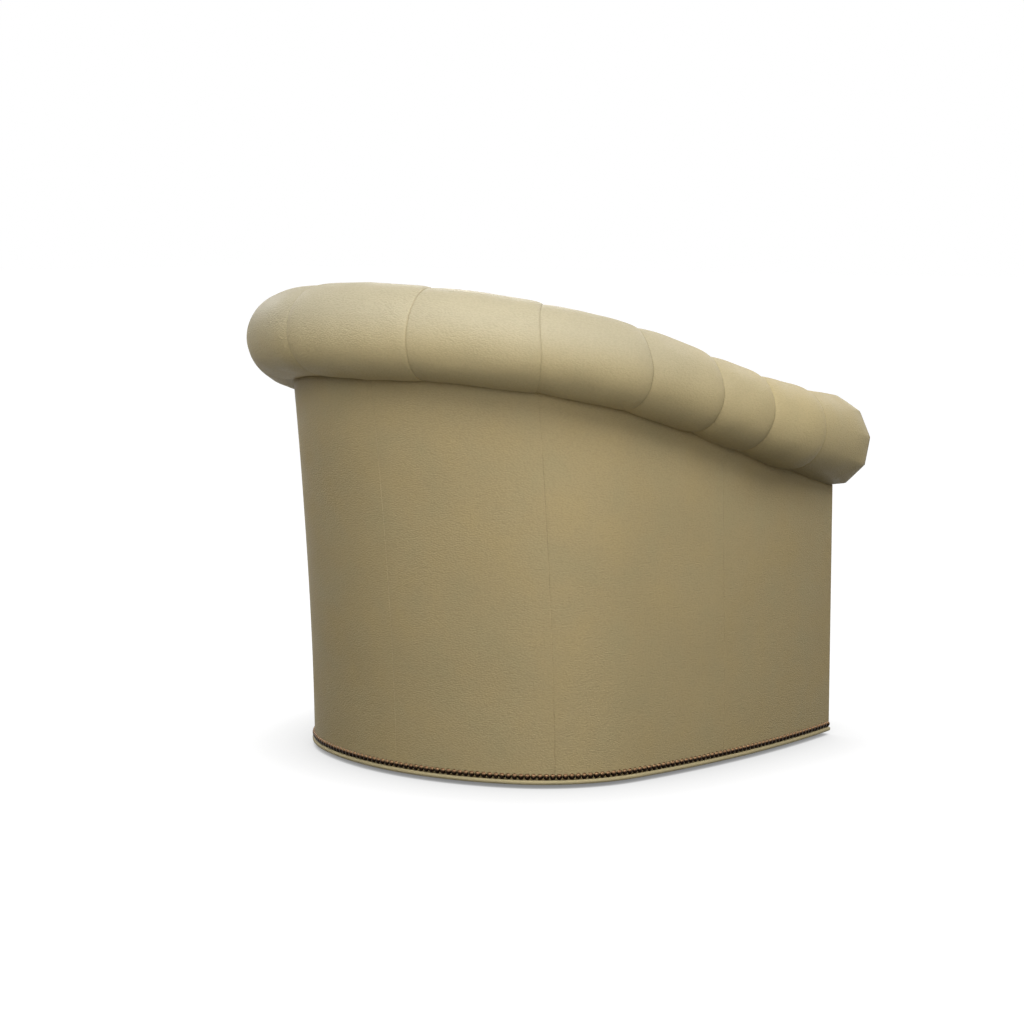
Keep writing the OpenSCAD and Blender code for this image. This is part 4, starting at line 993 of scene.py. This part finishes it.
for piece in leather_pieces:
    piece.data.materials.clear()
    piece.data.materials.append(roll_leather if re.search("roll|button|inside", piece.name) else tan_leather)
for piece, material, slot in ((welt, welt_leather, "welt_leather"), (thread, thread_material, "leather")):
    piece.data.materials.append(material)
by_slot = {
    "leather": tan_leather, "welt_leather": welt_leather, "nail_metal": bronze, "base_wood": dark_wood,
    "frame_wood": frame_timber, "plate_steel": zinc, "fastener_steel": steel, "ball_steel": polished,
    "spring_steel": steel, "cage_brass": cage, "glides": plastic, "dark_cloth": dark_cloth, "webbing": jute}
for entry in frame["record"]["subparts"]:
    obj = nodes[entry["node"]]
    material = by_slot[entry["material_slot"]]
    if not obj.data.materials:
        obj.data.materials.append(material)
    for k in range(len(obj.material_slots)):
        obj.material_slots[k].material = material


# Floor, light and camera

scene = bpy.context.scene
scene.view_settings.view_transform = "Standard"


def seen(tree):
    """1 for camera, glossy and transmission rays, else 0."""
    rays = add(tree, "ShaderNodeLightPath").outputs
    either = calc(tree, "MAXIMUM", rays["Is Camera Ray"], rays["Is Glossy Ray"])
    return calc(tree, "MAXIMUM", either, rays["Is Transmission Ray"])


mesh = bpy.data.meshes.new("floor")
mesh.from_pydata([(-30, -30, 0), (30, -30, 0), (30, 30, 0), (-30, 30, 0)], [], [[0, 1, 2, 3]])
floor = bpy.data.objects.new("floor", mesh)
scene.collection.objects.link(floor)
m = bpy.data.materials.new("floor")
m.use_nodes = True
tree = m.node_tree
tree.nodes.remove(tree.nodes["Principled BSDF"])
# The soft shadow that the object's foot casts all round, as under an even studio light
near = add(tree, "ShaderNodeAmbientOcclusion", samples=16, Distance=0.16)
shadow = [(0.0, grey(0.19)), (0.30, grey(0.45)), (0.48, grey(0.69)), (0.65, grey(0.81)),
          (0.85, grey(0.90)), (1.0, grey(1.0))]
glow = add(tree, "ShaderNodeEmission", Strength=1.1, Color=ramp(tree, near.outputs["AO"], shadow))
# Mostly the glow, and for the rest the white floor, which also takes the lamps' shadows
white = add(tree, "ShaderNodeBsdfDiffuse", Color=grey(0.97))
lit = feed(add(tree, "ShaderNodeMixShader"), 0.93, white.outputs[0], glow.outputs[0])
# To the rays that light the object, the floor is a dim grey
dim = add(tree, "ShaderNodeBsdfDiffuse", Color=grey(0.12))
floor_shader = feed(add(tree, "ShaderNodeMixShader"), seen(tree), dim.outputs[0], lit)
fill(tree.nodes["Material Output"], Surface=floor_shader)
mesh.materials.append(m)

world = bpy.data.worlds.new("studio")
scene.world = world
world.use_nodes = True
tree = world.node_tree
backdrop = fill(tree.nodes["Background"], Color=grey(1.0), Strength=1.0)
up = add(tree, "ShaderNodeSeparateXYZ", Vector=add(tree, "ShaderNodeTexCoord").outputs["Generated"])
sky = ramp(tree, up.outputs["Z"], [(0.0, grey(0.55)), (0.5, grey(0.9)), (1.0, grey(1.0))])
dome = add(tree, "ShaderNodeBackground", Color=sky, Strength=0.06)
world_shader = feed(add(tree, "ShaderNodeMixShader"), seen(tree), dome.outputs[0], backdrop.outputs[0])
fill(tree.nodes["World Output"], Surface=world_shader)


# Height of the chair's middle, which the lamps face
MIDDLE_Z = 0.4
# The camera's place, and the direction that it looks in on the level
CAMERA_AT = (-2.3834, 3.0737, 0.84305)
CAMERA_LOOK = (0.61951, -0.78499)
CAMERA_DOWN = math.radians(6.872)
# Direction of the camera's side from the axis
CAMERA_SIDE = math.atan2(0.785, -0.62)


def area_light(name, place, size, power):
    """Round lamp that faces the chair's middle."""
    data = bpy.data.lights.new(name, "AREA")
    data.shape = "DISK"
    data.size = size
    data.energy = power
    obj = bpy.data.objects.new(name, data)
    obj.location = place
    obj.rotation_euler = (Vector((0, 0, MIDDLE_Z)) - Vector(place)).to_track_quat("-Z", "Y").to_euler()
    scene.collection.objects.link(obj)


def from_camera(turn, rise, distance, height):
    """Place that is turned round the axis from the camera's side, and raised from a height on the axis. Both
    angles are in degrees."""
    angle = CAMERA_SIDE + math.radians(turn)
    level = distance * math.cos(math.radians(rise))
    up = distance * math.sin(math.radians(rise))
    return (level * math.cos(angle), level * math.sin(angle), height + up)


area_light("front", from_camera(0, 15, 4, MIDDLE_Z), 2.0, 50)
area_light("right", from_camera(65, 40, 4, MIDDLE_Z), 2.0, 18.5)
area_light("near_front", from_camera(0, 38, 1.6, 0.6), 0.8, 10.4)
area_light("near_left", from_camera(-50, 31, 1.6, 0.6), 0.8, 6.6)
area_light("near_right", from_camera(50, 31, 1.6, 0.6), 0.8, 5.6)
# The far side, which this camera doesn't see
for turn in (140, 180, 220):
    area_light("fill_%d" % turn, from_camera(turn, 28, 4, MIDDLE_Z), 1.6, 30)

camera = bpy.data.cameras.new("camera")
camera.sensor_width = 36
camera.lens = 84.85
camera.clip_end = 100
eye = bpy.data.objects.new("camera", camera)
eye.location = CAMERA_AT
level = math.cos(CAMERA_DOWN)
look = Vector((CAMERA_LOOK[0] * level, CAMERA_LOOK[1] * level, -math.sin(CAMERA_DOWN)))
eye.rotation_euler = look.to_track_quat("-Z", "Y").to_euler()
scene.collection.objects.link(eye)
scene.camera = eye
